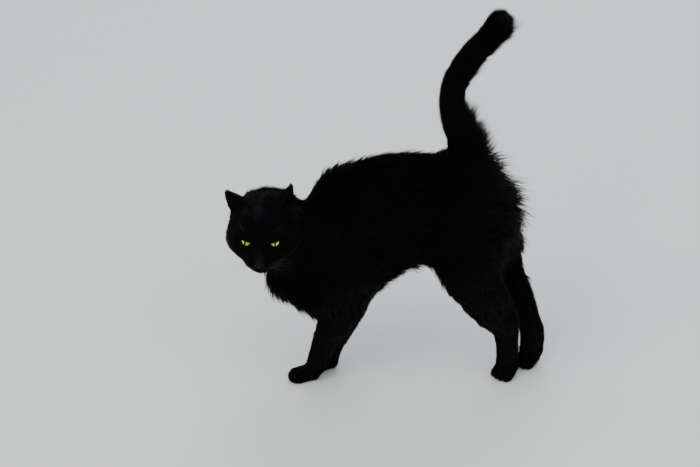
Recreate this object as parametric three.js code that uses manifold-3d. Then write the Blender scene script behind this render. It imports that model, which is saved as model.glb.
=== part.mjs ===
// A black domestic cat, life size, standing with arched back, raised tail and its head turned to its left.
// Millimetres, +Z up. The chest is towards -X, the tail towards +X and the cat's left side towards -Y.
import * as THREE from "three";
import Module from "manifold-3d";

const wasm = await Module();
wasm.setup();

// ---- Driving dimensions ----
const CUT_GAP = 0.3; // clearance left between two neighbouring parts
const FLOOR = 0; // level of the soles
const REACH = 900; // edge of the blocks that cut the body
const FAR = 60; // beyond this a limb has no say in the form
const SURVEY = 10; // step of the first, coarse look at a form
const TRUNK_CELL = [22, 18, 18]; // sampling steps along X, Y and Z over each kind of part
const NECK_CELL = [16, 16, 16];
const THIGH_CELL = [15, 15, 16];
const LEG_CELL = [10, 10, 15];
const TAIL_CELL = [11, 11, 14];
const PAW_CELL = [7, 7, 7];
const HEAD_CELL = [11, 11, 11];
const FACE_CELL = [5.6, 5.6, 5.6];
const EAR_BED_CELL = [8, 8, 8];

const BODY_BLEND = 20; // how softly the legs run into the trunk
const NECK_BLEND = 14;
const TAIL_BLEND = 16;
const PAW_BLEND = 7;
const FACE_BLEND = 9;

const HEAD_AT = [-110.6, -90, 243.5]; // midpoint between the centres of the eyelid openings
const HEAD_YAW = 4; // degrees the face is turned towards -X from straight -Y
const HEAD_PITCH = 8; // degrees the face points below level

const EYE_SPACING = 37.5; // between the centres of the two eyes
const EYE_RADIUS = 10.4;
const EYE_DEPTH = 8.2; // centre of the eyeball behind the lids
const FACE_DEPTH = 20; // the face parts from the back of the head this far behind the lids
const NOSE = { at: [0, -19.5, -18], size: [6.8, 4.8, 4.6] }; // the bare leather

const COAT = { color: 0x141417, roughness: 0.8, metalness: 0 };
const EYE = { color: 0xa8b43a, roughness: 0.1, metalness: 0 };
const LEATHER = { color: 0x0d0d0f, roughness: 0.6, metalness: 0 };

// ---- The coat's outer form as a distance field ----

/** Joins two distances with a fillet of width k. */
function blend(a, b, k) {
  const h = Math.max(k - Math.abs(a - b), 0) / k;
  return Math.min(a, b) - h * h * k * 0.25;
}

/** Takes b out of a with a fillet of width k. */
function carve(a, b, k) {
  return -blend(-a, b, k);
}

/** A rounded organ along a smooth curve; each station is [x, y, z, half depth, half breadth]. */
class Limb {
  constructor(stations, side = [0, 1, 0], steps = 4) {
    const path = new THREE.CatmullRomCurve3(stations.map(([x, y, z]) => new THREE.Vector3(x, y, z)));
    const girth = new THREE.CatmullRomCurve3(stations.map((s) => new THREE.Vector3(s[3], s[4] ?? s[3], 0)));
    const count = (stations.length - 1) * steps;
    this.side = new THREE.Vector3(...side).normalize();
    this.reach = new THREE.Box3().setFromPoints(path.points).getBoundingSphere(new THREE.Sphere());
    this.reach.radius += Math.max(...stations.map((s) => s[3])) * 1.2;
    this.spans = [];
    for (let i = 0; i < count; i++) {
      const a = path.getPoint(i / count);
      const b = path.getPoint((i + 1) / count).sub(a);
      const ga = girth.getPoint(i / count);
      const gb = girth.getPoint((i + 1) / count).sub(ga);
      this.spans.push({ a, b, ga, gb, length2: b.lengthSq() });
    }
  }

  distance(x, y, z) {
    const { center, radius } = this.reach;
    const far = Math.hypot(x - center.x, y - center.y, z - center.z) - radius;
    if (far > FAR) return far;
    const { x: sx, y: sy, z: sz } = this.side;
    let best = Infinity;
    for (const { a, b, ga, gb, length2 } of this.spans) {
      const px = x - a.x;
      const py = y - a.y;
      const pz = z - a.z;
      const t = Math.min(Math.max((px * b.x + py * b.y + pz * b.z) / length2, 0), 1);
      const qx = px - t * b.x;
      const qy = py - t * b.y;
      const qz = pz - t * b.z;
      const across = qx * sx + qy * sy + qz * sz;
      const rest2 = Math.max(qx * qx + qy * qy + qz * qz - across * across, 0);
      best = Math.min(best, oval(across * across, rest2, 0, ga.y + t * gb.y, ga.x + t * gb.x, 1));
    }
    return best;
  }
}

/** Distance to an ellipsoid from squared offsets along its axes. */
function oval(x2, y2, z2, rx, ry, rz) {
  const a = 1 / (rx * rx);
  const b = 1 / (ry * ry);
  const c = 1 / (rz * rz);
  const k0 = Math.sqrt(x2 * a + y2 * b + z2 * c);
  const k1 = Math.sqrt(x2 * a * a + y2 * b * b + z2 * c * c);
  return k1 > 1e-9 ? (k0 * (k0 - 1)) / k1 : -Math.min(rx, ry);
}

/** A muscle, pad or toe: an ellipsoid in the frame it is given. */
class Lump {
  constructor(at, size) {
    this.at = at;
    this.size = size;
  }

  distance(x, y, z) {
    const [cx, cy, cz] = this.at;
    return oval((x - cx) ** 2, (y - cy) ** 2, (z - cz) ** 2, ...this.size);
  }
}

/** A turned frame: +X to the right of the face or paw, -Y forwards, +Z up. */
class Pose {
  constructor(at, yaw, pitch = 0) {
    const euler = new THREE.Euler(THREE.MathUtils.degToRad(pitch), 0, THREE.MathUtils.degToRad(-yaw), "ZXY");
    this.matrix = new THREE.Matrix4().makeRotationFromEuler(euler).setPosition(...at);
    this.inverse = this.matrix.clone().invert().elements;
  }

  /** A point of the world in this frame. */
  local(x, y, z) {
    const e = this.inverse;
    return [
      e[0] * x + e[4] * y + e[8] * z + e[12],
      e[1] * x + e[5] * y + e[9] * z + e[13],
      e[2] * x + e[6] * y + e[10] * z + e[14],
    ];
  }

  /** A point of this frame in the world. */
  world(x, y, z) {
    return new THREE.Vector3(x, y, z).applyMatrix4(this.matrix).toArray();
  }

  /** A direction of this frame in the world. */
  turned(x, y, z) {
    return new THREE.Vector3(x, y, z).transformDirection(this.matrix).toArray();
  }
}

// ---- The body ----

const trunk = new Limb([
  [-62, -4, 164, 51, 43], // point of the breast
  [-23, -1, 169, 73, 52], // shoulders
  [19, 0, 225, 77.5, 57], // ribs
  [52, 0, 243, 76.5, 58], // last ribs
  [94, 0, 249, 73, 53], // loin
  [132, 0, 249, 72, 55], // pelvis
  [163, 0, 242, 57, 46], // rump
]);
const withers = new Lump([8, 0, 246], [51, 42, 61]); // tops of the shoulder blades

const neck = new Limb(
  [
    [-48, -2, 191, 41, 45],
    [-77, -15, 219, 38, 40],
    [-90, -28, 242, 38, 38],
    [-101, -42, 248, 34, 34],
  ],
  [0.6, 0.8, 0],
);

const tail = new Limb([
  [151, 0, 296, 35, 30], // root, with the fringe behind it
  [145.5, 0, 340, 26.5, 24],
  [132, 0, 375, 20, 19],
  [127.5, 0, 400, 18, 18],
  [131, 0, 420, 17.5, 18],
  [140, 0, 440, 17.5, 18],
  [153, 0, 458, 17.5, 18.5],
  [167.5, 0, 476, 17.5, 19],
  [182.5, 0, 494.5, 19.5, 19],
]);

/** Legs by name: the limb from its root to the ankle, and the paw that it stands on. */
const LEGS = {
  foreleg_left: {
    limb: [
      [-36, -28, 200, 44, 28], // shoulder blade
      [-24, -33, 152, 36, 26], // upper arm
      [-9, -27, 112, 26, 20], // elbow
      [-22, -20, 78, 21, 15.5], // forearm
      [-38, -15, 42, 16, 13.5], // wrist
      [-43, -14, 24, 14.5, 13],
    ],
    paw: { at: [-61, -14.5, 0], yaw: 80, length: 48, width: 28, height: 22 },
  },
  foreleg_right: {
    limb: [
      [-36, 28, 200, 44, 28],
      [-20, 33, 152, 36, 26],
      [4, 27, 112, 26, 20],
      [-4, 19, 78, 20, 15.5],
      [-21, 13, 42, 15.5, 13.5],
      [-27, 14, 24, 14.5, 13],
    ],
    paw: { at: [-36, 13, 0], yaw: 80, length: 44, width: 27, height: 22 },
  },
  hindleg_left: {
    limb: [
      [146, -24, 236, 50, 34], // thigh
      [150, -36, 190, 47, 30],
      [167, -34, 146, 34, 26], // knee
      [184, -26, 113, 29, 18], // shin
      [200, -16, 86, 22, 15], // hock
      [205, -12, 56, 16.5, 14], // shank of the foot
      [206.5, -8, 26, 15.5, 14],
    ],
    paw: { at: [205, -7, 0], yaw: 40, length: 39, width: 31, height: 23 },
  },
  hindleg_right: {
    limb: [
      [156, 24, 236, 50, 34],
      [172, 36, 185, 56, 30],
      [187, 34, 147, 40, 26],
      [211, 25, 120, 29, 19],
      [230, 17, 92, 19.5, 15],
      [239.5, 17, 58, 17.5, 14],
      [241, 20, 26, 16.5, 14],
    ],
    paw: { at: [236, 22, 0], yaw: 45, length: 38, width: 30, height: 22 },
  },
};

/** A paw: heel pad, instep and four toes, pressed a little flat on the floor, with -Y along the foot. */
class Paw {
  constructor({ at, yaw, length, width, height }) {
    this.pose = new Pose(at, yaw);
    this.sole = new Limb(
      [
        [0, length * 0.22, height * 0.42, height * 0.56, width * 0.38],
        [0, 0, height * 0.42, height * 0.56, width * 0.48],
        [0, -length * 0.16, height * 0.34, height * 0.48, width * 0.47],
      ],
      [1, 0, 0],
      2,
    );
    this.toes = [-0.36, -0.125, 0.125, 0.36].map((place) => {
      const back = Math.abs(place) > 0.2 ? 0.2 : 0.26;
      return new Lump(
        [place * width, -length * back, height * 0.31],
        [width * 0.15, length * 0.24, height * 0.42],
      );
    });
  }

  distance(x, y, z) {
    const p = this.pose.local(x, y, z);
    let d = this.sole.distance(...p);
    for (const toe of this.toes) d = blend(d, toe.distance(...p), 3);
    return d;
  }
}

const legs = Object.fromEntries(
  Object.entries(LEGS).map(([name, { limb, paw }]) => [name, { limb: new Limb(limb), paw: new Paw(paw) }]),
);

// ---- The head ----

const headPose = new Pose(HEAD_AT, HEAD_YAW, HEAD_PITCH);
const bothSides = (x, y, z, ...size) => [new Lump([x, y, z], size), new Lump([-x, y, z], size)];
const skull = [
  new Lump([0, 44, 3], [43, 44, 39]), // cranium
  new Lump([0, 25, 12], [31, 25, 24]), // forehead
  new Lump([0, 12, -19], [24, 20, 15]), // jaws
  ...bothSides(11, 1, -12, 10, 10, 9), // hollows under the inner corners of the eyes
  new Lump([0, -4, -20], [16, 14, 11]), // muzzle
  ...bothSides(9.5, -9.5, -20, 10.5, 10, 8.5), // whisker pads
  new Lump([0, -6, -30.5], [9.5, 10, 8]), // chin
  ...bothSides(25, 24, -7, 21, 23, 21), // cheeks
  ...bothSides(18, 9, -17, 12, 13, 11), // jowls
  ...bothSides(18.5, 6, 11, 14, 9, 8), // brows
  ...bothSides(19, 7, -11, 13, 10, 9), // under the eyes
];
const bridge = new Limb(
  [
    [0, 5, 6, 9],
    [0, -5, -5, 9],
    [0, -13.5, -14, 7, 7.5],
  ],
  [1, 0, 0],
);
const orbits = bothSides(EYE_SPACING / 2, -9.5, 0, 12, 10.5, 8.5);

function headDistance(x, y, z) {
  const p = headPose.local(x, y, z);
  let d = skull[0].distance(...p);
  for (const lump of [...skull.slice(1), bridge]) d = blend(d, lump.distance(...p), FACE_BLEND);
  for (const orbit of orbits) d = carve(d, orbit.distance(...p), 4);
  return d;
}

// ---- Fields of the whole body and of each leg ----

function coreDistance(x, y, z) {
  let d = blend(trunk.distance(x, y, z), withers.distance(x, y, z), 16);
  d = blend(d, neck.distance(x, y, z), NECK_BLEND);
  d = blend(d, headDistance(x, y, z), 12);
  return blend(d, tail.distance(x, y, z), TAIL_BLEND);
}

function legDistance({ limb, paw }, x, y, z) {
  return blend(limb.distance(x, y, z), paw.distance(x, y, z), PAW_BLEND);
}

const bodyField = (x, y, z) => {
  const core = coreDistance(x, y, z);
  return Math.min(...Object.values(legs).map((leg) => blend(core, legDistance(leg, x, y, z), BODY_BLEND)));
};

// ---- Surfaces ----

/** A closed surface of a field inside a box, one vertex to each cell that the surface crosses. */
class FleshGeometry extends THREE.BufferGeometry {
  constructor(field, box, cell) {
    super();
    const size = box.getSize(new THREE.Vector3());
    const n = size.toArray().map((s, axis) => Math.ceil(s / cell[axis]) + 2);
    const start = box.min.toArray().map((s, axis) => s - cell[axis]);
    const at = (i, j, k) => (k * n[1] + j) * n[0] + i;
    const inner = box.clone().expandByScalar(-1);
    const walled = (x, y, z) =>
      Math.max(
        field(x, y, z),
        inner.min.x - x,
        x - inner.max.x,
        inner.min.y - y,
        y - inner.max.y,
        inner.min.z - z,
        z - inner.max.z,
      );
    const values = new Float64Array(n[0] * n[1] * n[2]);
    for (let k = 0; k < n[2]; k++)
      for (let j = 0; j < n[1]; j++)
        for (let i = 0; i < n[0]; i++)
          values[at(i, j, k)] = walled(...[i, j, k].map((count, axis) => start[axis] + count * cell[axis]));

    const positions = [];
    const vertexOf = new Map();
    const corners = [0, 1, 2, 3, 4, 5, 6, 7].map((c) => [c & 1, (c >> 1) & 1, (c >> 2) & 1]);
    const edges = [];
    for (let a = 0; a < 8; a++) for (const bit of [1, 2, 4]) if (!(a & bit)) edges.push([a, a | bit]);
    for (let k = 0; k < n[2] - 1; k++)
      for (let j = 0; j < n[1] - 1; j++)
        for (let i = 0; i < n[0] - 1; i++) {
          const v = corners.map(([a, b, c]) => values[at(i + a, j + b, k + c)]);
          const sum = [0, 0, 0];
          let crossings = 0;
          for (const [a, b] of edges) {
            if (v[a] < 0 === v[b] < 0) continue;
            const t = v[a] / (v[a] - v[b]);
            for (const axis of [0, 1, 2])
              sum[axis] += corners[a][axis] + t * (corners[b][axis] - corners[a][axis]);
            crossings++;
          }
          if (!crossings) continue;
          vertexOf.set(at(i, j, k), positions.length / 3);
          const middle = sum.map((total) => total / crossings);
          positions.push(...[i, j, k].map((base, axis) => start[axis] + (base + middle[axis]) * cell[axis]));
        }

    // Each vertex is moved along the slope of the field on to the surface itself.
    const most = Math.min(...cell);
    for (let p = 0; p < positions.length; p += 3) {
      const [x, y, z] = positions.slice(p, p + 3);
      for (let pass = 0, q = [x, y, z]; pass < 3; pass++) {
        const d = walled(...q);
        const e = 0.2;
        const g = [
          (walled(q[0] + e, q[1], q[2]) - d) / e,
          (walled(q[0], q[1] + e, q[2]) - d) / e,
          (walled(q[0], q[1], q[2] + e) - d) / e,
        ];
        const g2 = Math.max(g[0] ** 2 + g[1] ** 2 + g[2] ** 2, 0.05);
        const step = THREE.MathUtils.clamp(d / g2, -most * 0.3, most * 0.3);
        q = q.map((c, axis) => c - step * g[axis]);
        if (Math.hypot(q[0] - x, q[1] - y, q[2] - z) > most * 0.45) break;
        positions.splice(p, 3, ...q);
      }
    }

    const index = [];
    const stride = [1, n[0], n[0] * n[1]];
    for (let k = 1; k < n[2] - 1; k++)
      for (let j = 1; j < n[1] - 1; j++)
        for (let i = 1; i < n[0] - 1; i++)
          for (const axis of [0, 1, 2]) {
            const here = at(i, j, k);
            const inside = values[here] < 0;
            if (inside === values[here + stride[axis]] < 0) continue;
            const u = stride[(axis + 1) % 3];
            const w = stride[(axis + 2) % 3];
            const ring = [here, here - u, here - u - w, here - w].map((cellIndex) => vertexOf.get(cellIndex));
            if (!inside) ring.reverse();
            const place = (corner) => new THREE.Vector3().fromArray(positions, ring[corner] * 3);
            const gap = (from, to) => place(from).distanceTo(place(to));
            const turn = gap(0, 2) < gap(1, 3) ? 0 : 1;
            const [a, b, c, d] = [0, 1, 2, 3].map((corner) => ring[(corner + turn) % 4]);
            index.push(a, b, c, a, c, d);
          }
    this.setAttribute("position", new THREE.Float32BufferAttribute(positions, 3));
    this.setIndex(index);
  }
}

/** One ear: a cupped leaf with an outer and an inner face, open towards the front. */
class EarGeometry extends THREE.BufferGeometry {
  constructor({ height, width, cup, thickness }) {
    super();
    const rows = 5;
    const columns = 6;
    const positions = [];
    const index = [];
    const point = (u, v, inset) => {
      const half = (width / 2 - inset) * Math.cos((v * Math.PI) / 2.1) ** 0.8;
      const angle = u * cup;
      const depth = (Math.cos(angle) - Math.cos(cup)) / (1 - Math.cos(cup));
      return [
        (half * Math.sin(angle)) / Math.sin(cup),
        half * 0.85 * depth - inset * Math.cos(angle),
        v * (height - inset),
      ];
    };
    for (const inset of [0, thickness])
      for (let r = 0; r <= rows; r++)
        for (let c = 0; c <= columns; c++) positions.push(...point((c / columns) * 2 - 1, r / rows, inset));
    const sheet = (rows + 1) * (columns + 1);
    const at = (layer, r, c) => layer * sheet + r * (columns + 1) + c;
    const quad = (a, b, c, d) => index.push(a, b, c, a, c, d);
    for (let r = 0; r < rows; r++)
      for (let c = 0; c < columns; c++) {
        quad(at(0, r, c + 1), at(0, r, c), at(0, r + 1, c), at(0, r + 1, c + 1));
        quad(at(1, r, c), at(1, r, c + 1), at(1, r + 1, c + 1), at(1, r + 1, c));
      }
    for (let c = 0; c < columns; c++) {
      quad(at(0, 0, c), at(0, 0, c + 1), at(1, 0, c + 1), at(1, 0, c));
      quad(at(0, rows, c + 1), at(0, rows, c), at(1, rows, c), at(1, rows, c + 1));
    }
    for (let r = 0; r < rows; r++) {
      quad(at(0, r + 1, 0), at(0, r, 0), at(1, r, 0), at(1, r + 1, 0));
      quad(at(0, r, columns), at(0, r + 1, columns), at(1, r + 1, columns), at(1, r, columns));
    }
    this.setAttribute("position", new THREE.Float32BufferAttribute(positions, 3));
    this.setIndex(index);
  }
}

// ---- Cutting the body into its parts ----

/** The solid of a geometry. */
function solidOf(geometry) {
  return new wasm.Manifold(
    new wasm.Mesh({
      numProp: 3,
      vertProperties: Float32Array.from(geometry.getAttribute("position").array),
      triVerts: Uint32Array.from(geometry.index.array),
    }),
  );
}

/** The geometry of a solid. */
function geometryOf(solid) {
  const mesh = solid.getMesh();
  const geometry = new THREE.BufferGeometry();
  geometry.setAttribute("position", new THREE.BufferAttribute(Float32Array.from(mesh.vertProperties), 3));
  geometry.setIndex(new THREE.BufferAttribute(Uint32Array.from(mesh.triVerts), 1));
  return geometry;
}

/** A cutting plane; a part lies behind it, the way it faces being outwards. */
class Plane {
  constructor(at, facing) {
    this.at = new THREE.Vector3(...at);
    this.normal = new THREE.Vector3(...facing).normalize();
  }

  flipped() {
    return new Plane(this.at.toArray(), this.normal.clone().negate().toArray());
  }

  /** How far a point lies in front of the plane. */
  ahead(x, y, z) {
    return new THREE.Vector3(x, y, z).sub(this.at).dot(this.normal);
  }

  /** Everything behind the plane, moved outwards by an offset. */
  block(offset) {
    const box = new THREE.BoxGeometry(REACH, REACH, REACH).toNonIndexed();
    const turn = new THREE.Quaternion().setFromUnitVectors(new THREE.Vector3(0, 0, 1), this.normal);
    box.applyQuaternion(turn);
    box.translate(...this.at.clone().addScaledVector(this.normal, offset - REACH / 2).toArray());
    return solidOf(weld(box));
  }
}

/** Joins equal corners of a geometry, which has no index, into shared ones. */
function weld(geometry) {
  const source = geometry.getAttribute("position");
  const seen = new Map();
  const positions = [];
  const index = [];
  for (let i = 0; i < source.count; i++) {
    const p = [source.getX(i), source.getY(i), source.getZ(i)];
    const key = p.map((c) => Math.round(c * 1e4)).join();
    if (!seen.has(key)) {
      seen.set(key, positions.length / 3);
      positions.push(...p);
    }
    index.push(seen.get(key));
  }
  const welded = new THREE.BufferGeometry();
  welded.setAttribute("position", new THREE.Float32BufferAttribute(positions, 3));
  welded.setIndex(index);
  return welded;
}

const SURVEYED = { x: [-190, 290], y: [-170, 100], z: [-10, 540] }; // holds the whole animal
const samples = new Map();

/** Points on a coarse grid that lie in a field or near it. */
function samplesOf(field) {
  if (!samples.has(field)) {
    const points = [];
    for (let x = SURVEYED.x[0]; x <= SURVEYED.x[1]; x += SURVEY)
      for (let y = SURVEYED.y[0]; y <= SURVEYED.y[1]; y += SURVEY)
        for (let z = SURVEYED.z[0]; z <= SURVEYED.z[1]; z += SURVEY)
          if (field(x, y, z) < SURVEY) points.push(new THREE.Vector3(x, y, z));
    samples.set(field, points);
  }
  return samples.get(field);
}

/** The box that holds the part of a field behind all of some planes. */
function reachOf(field, planes, margin) {
  const near = samplesOf(field).filter((p) => planes.every((plane) => plane.ahead(p.x, p.y, p.z) < SURVEY));
  return new THREE.Box3().setFromPoints(near).expandByScalar(margin);
}

/** A part of the body: the field behind its planes, less some regions. */
function cutFlesh(field, cell, planes, less = []) {
  let solid = solidOf(new FleshGeometry(field, reachOf(field, planes, Math.max(...cell)), cell));
  for (const plane of planes) solid = solid.intersect(plane.block(-CUT_GAP / 2));
  for (const region of less) {
    const blocks = region.map((plane) => plane.block(CUT_GAP / 2));
    solid = solid.subtract(blocks.reduce((a, b) => a.intersect(b)));
  }
  return solid;
}

const floor = new Plane([0, 0, FLOOR - CUT_GAP / 2], [0, 0, -1]);

// Legs leave the trunk at slanting planes and part from each other on the body's middle.
const shoulderLine = new Plane([-20, 0, 104], [0, 0.72, 0.69]);
const shoulderLineRight = new Plane([-20, 0, 104], [0, -0.72, 0.69]);
const hipLine = new Plane([175, 0, 150], [-0.45, 0.6, 0.66]);
const hipLineRight = new Plane([175, 0, 150], [-0.45, -0.6, 0.66]);
const breastLine = new Plane([-54, 0, 100], [-1, 0, 0.3]);
const middleLeft = new Plane([0, 0, 0], [0, 1, 0]);
const middleRight = middleLeft.flipped();
const flank = new Plane([70, 0, 200], [1, 0, 0]); // parts fore from hind

const foreLeft = [shoulderLine, middleLeft, flank, breastLine];
const foreRight = [shoulderLineRight, middleRight, flank, breastLine];
const hindLeft = [hipLine, middleLeft, flank.flipped()];
const hindRight = [hipLineRight, middleRight, flank.flipped()];

const elbowLeft = new Plane([-20, -20, 82], [0.3, 0, -1]);
const elbowRight = new Plane([-8, 20, 82], [0.3, 0, -1]);
const kneeLeft = new Plane([190, -24, 112], [0.75, 0, -0.66]);
const kneeRight = new Plane([218, 24, 118], [0.75, 0, -0.66]);
const wristLeft = new Plane([-46, -14, 27], [-0.45, 0, -1]);
const wristRight = new Plane([-31, 14, 27], [-0.45, 0, -1]);
const ankleLeft = new Plane([204, -14, 28], [0, 0, -1]);
const ankleRight = new Plane([240, 13, 28], [0, 0, -1]);

const throat = new Plane([-104, -48, 250], [0.42, 0.9, 0.05]); // head from neck
const nape = new Plane([-62, 0, 222], [-0.9, -0.25, 0.3]); // neck from shoulders
const collar = new Plane([-112, 0, 185], [0.5, 0, -0.86]); // neck from breast
const ribs = new Plane([22, 0, 220], [1, 0, 0.1]);
const loin = new Plane([106, 0, 240], [1, 0, 0.12]);
const tailCuts = [
  new Plane([146, 0, 330], [0.15, 0, 1]),
  new Plane([131, 0, 376], [-0.3, 0, 1]),
  new Plane([131.5, 0, 420], [0.25, 0, 1]),
  new Plane([153, 0, 461], [0.66, 0, 0.75]),
];

const parts = [];

/** Adds a named part with a material of its own. */
function add(name, solid, look) {
  const mesh = new THREE.Mesh(geometryOf(solid), new THREE.MeshStandardMaterial(look));
  mesh.name = name;
  parts.push(mesh);
}

/** A ball stretched along the axes of the head. */
function headBall(at, size, growth = 0) {
  const ball = new THREE.IcosahedronGeometry(1, 2);
  ball.scale(...size.map((radius) => radius + growth));
  ball.translate(...at);
  return solidOf(weld(ball.applyMatrix4(headPose.matrix)));
}

// Face: it holds the eyes and the nose, which are bodies of their own.
const mask = new Plane(headPose.world(0, FACE_DEPTH, 0), headPose.turned(0, 1, 0));
let face = cutFlesh(bodyField, FACE_CELL, [mask, nape.flipped(), collar]);
const insets = {
  eye_right: { at: [-EYE_SPACING / 2, EYE_DEPTH, 0], size: Array(3).fill(EYE_RADIUS), look: EYE },
  eye_left: { at: [EYE_SPACING / 2, EYE_DEPTH, 0], size: Array(3).fill(EYE_RADIUS), look: EYE },
  nose: { ...NOSE, look: LEATHER },
};
for (const [name, { at, size, look }] of Object.entries(insets)) {
  face = face.subtract(headBall(at, size, CUT_GAP));
  add(name, headBall(at, size), look);
}
add("face", face, COAT);
add("head", cutFlesh(bodyField, HEAD_CELL, [mask.flipped(), throat, nape.flipped(), collar]), COAT);

const ears = {
  left: { base: [28, 38, 22], tip: [36.5, 44, 60], turn: 62, height: 38, width: 32 },
  right: { base: [-26, 38, 20], tip: [-47.5, 48, 41.5], turn: -24, height: 33, width: 34 },
};
for (const [side, ear] of Object.entries(ears)) {
  const geometry = new EarGeometry({ height: ear.height, width: ear.width, cup: 1.25, thickness: 4.5 });
  const rise = new THREE.Vector3(...ear.tip).sub(new THREE.Vector3(...ear.base)).normalize();
  geometry.rotateZ(THREE.MathUtils.degToRad(ear.turn));
  geometry.applyQuaternion(new THREE.Quaternion().setFromUnitVectors(new THREE.Vector3(0, 0, 1), rise));
  geometry.translate(...ear.base);
  geometry.applyMatrix4(headPose.matrix);
  const pinna = solidOf(geometry);
  const bed = (x, y, z) => bodyField(x, y, z) - CUT_GAP * 2;
  const box = new THREE.Box3().setFromBufferAttribute(geometry.getAttribute("position")).expandByScalar(12);
  add(`ear_${side}`, pinna.subtract(solidOf(new FleshGeometry(bed, box, EAR_BED_CELL))), COAT);
}

const forequarters = [foreLeft, foreRight];
const hindquarters = [hindLeft, hindRight];
const allLegs = [...forequarters, ...hindquarters];
add("neck", cutFlesh(bodyField, NECK_CELL, [throat.flipped(), nape.flipped(), collar]), COAT);
add("chest", cutFlesh(bodyField, TRUNK_CELL, [ribs], [[nape.flipped(), collar], ...forequarters]), COAT);
add("belly", cutFlesh(bodyField, TRUNK_CELL, [ribs.flipped(), loin], allLegs), COAT);
add("rump", cutFlesh(bodyField, TRUNK_CELL, [loin.flipped(), tailCuts[0]], hindquarters), COAT);

tailCuts.forEach((cut, i) => {
  const planes = [cut.flipped(), loin.flipped(), ...tailCuts.slice(i + 1, i + 2)];
  add(`tail_${i + 1}`, cutFlesh(bodyField, TAIL_CELL, planes), COAT);
});

const foreNames = ["arm", "forearm", "forepaw"];
const hindNames = ["thigh", "shank", "hindpaw"];
const legCuts = {
  foreleg_left: { region: foreLeft, middle: elbowLeft, low: wristLeft, names: foreNames },
  foreleg_right: { region: foreRight, middle: elbowRight, low: wristRight, names: foreNames },
  hindleg_left: { region: hindLeft, middle: kneeLeft, low: ankleLeft, names: hindNames },
  hindleg_right: { region: hindRight, middle: kneeRight, low: ankleRight, names: hindNames },
};
for (const [name, { region, middle, low, names }] of Object.entries(legCuts)) {
  const side = name.split("_")[1];
  const leg = legs[name];
  const rooted = (x, y, z) => blend(coreDistance(x, y, z), legDistance(leg, x, y, z), BODY_BLEND);
  const free = (x, y, z) => legDistance(leg, x, y, z);
  add(`${names[0]}_${side}`, cutFlesh(rooted, THIGH_CELL, [...region, middle]), COAT);
  add(`${names[1]}_${side}`, cutFlesh(free, LEG_CELL, [middle.flipped(), low]), COAT);
  add(`${names[2]}_${side}`, cutFlesh(free, PAW_CELL, [low.flipped(), floor]), COAT);
}

// The origin is the middle of the footprint, on the floor.
const cat = new THREE.Group();
cat.name = "cat";
cat.add(...parts);
const bounds = new THREE.Box3().setFromObject(cat);
const centre = bounds.getCenter(new THREE.Vector3());
for (const mesh of parts) mesh.geometry.translate(-centre.x, -centre.y, -bounds.min.z);

export default cat;
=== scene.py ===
"""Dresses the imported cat: one skin, a coat of tufts, eyes, nose, whiskers and pads.

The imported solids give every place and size. Lengths in the tables below are in
millimetres and angles in degrees, and meshes are made in metres.
"""

import logging
import math
from collections.abc import Iterable, Sequence
from dataclasses import astuple, dataclass, field
from enum import Enum

import bmesh
import bpy
import numpy as np
from mathutils.bvhtree import BVHTree
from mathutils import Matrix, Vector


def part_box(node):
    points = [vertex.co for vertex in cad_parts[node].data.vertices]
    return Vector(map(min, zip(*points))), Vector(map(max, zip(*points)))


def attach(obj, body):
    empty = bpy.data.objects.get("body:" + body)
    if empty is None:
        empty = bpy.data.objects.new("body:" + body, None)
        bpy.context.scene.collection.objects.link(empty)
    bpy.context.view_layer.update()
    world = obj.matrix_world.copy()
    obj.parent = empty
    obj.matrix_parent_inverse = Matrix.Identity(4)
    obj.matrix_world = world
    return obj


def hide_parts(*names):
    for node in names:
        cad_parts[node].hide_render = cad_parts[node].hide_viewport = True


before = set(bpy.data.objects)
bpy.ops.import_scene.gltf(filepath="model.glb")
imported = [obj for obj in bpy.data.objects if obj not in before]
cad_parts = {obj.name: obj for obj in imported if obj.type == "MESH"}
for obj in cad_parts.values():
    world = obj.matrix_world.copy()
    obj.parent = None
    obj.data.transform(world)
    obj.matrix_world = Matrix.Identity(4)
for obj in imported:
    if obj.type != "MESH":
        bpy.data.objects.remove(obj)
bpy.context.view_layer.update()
MM = 0.001
LOG = logging.getLogger("cat")

Colour = tuple[float, float, float, float]
Triple = tuple[float, float, float]
Rows = np.ndarray
Masks = dict[str, Rows]
Mesh = bpy.types.Mesh
Piece = bpy.types.Object
Finish = bpy.types.Material
Tree = bpy.types.NodeTree
Node = bpy.types.Node
Socket = bpy.types.NodeSocket
Outputs = bpy.types.bpy_prop_collection


# ---------------------------------------------------------------- helpers


def unit(vectors: Rows) -> Rows:
    """Returns the vectors at length one."""
    return vectors / np.maximum(np.linalg.norm(vectors, axis=-1, keepdims=True), 1e-12)


def ramp(value: Rows, low: float, high: float) -> Rows:
    """Rises smoothly from 0 at low to 1 at high.

    Args:
        value: Numbers to ease.
        low: Where the rise starts.
        high: Where it ends; below low it falls instead.

    Returns:
        Numbers from 0 to 1.
    """
    t = np.clip((value - low) / (high - low), 0.0, 1.0)
    return t * t * (3.0 - 2.0 * t)


def bump(value: Rows, width: float) -> Rows:
    """A soft bell of 1 at zero that is nearly gone at twice the width."""
    return np.exp(-np.square(value / width))


def corner(node: str, index: int) -> Rows:
    """The lowest (0) or highest (1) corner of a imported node's box."""
    return np.array(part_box(node)[index])


def middle(node: str) -> Rows:
    """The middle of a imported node's box."""
    return (corner(node, 0) + corner(node, 1)) / 2.0


def read_rows(items: Iterable, key: str) -> Rows:
    """Reads a vector of each item of a mesh.

    Args:
        items: The mesh's vertices or vertex normals.
        key: The vector's name.

    Returns:
        One row of three for each item.
    """
    flat = np.empty(len(items) * 3, np.float32)
    items.foreach_get(key, flat)
    return flat.reshape(-1, 3).astype(float)


def places(mesh: Mesh) -> Rows:
    """Returns a mesh's vertex places, one row each."""
    return read_rows(mesh.vertices, "co")


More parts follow.
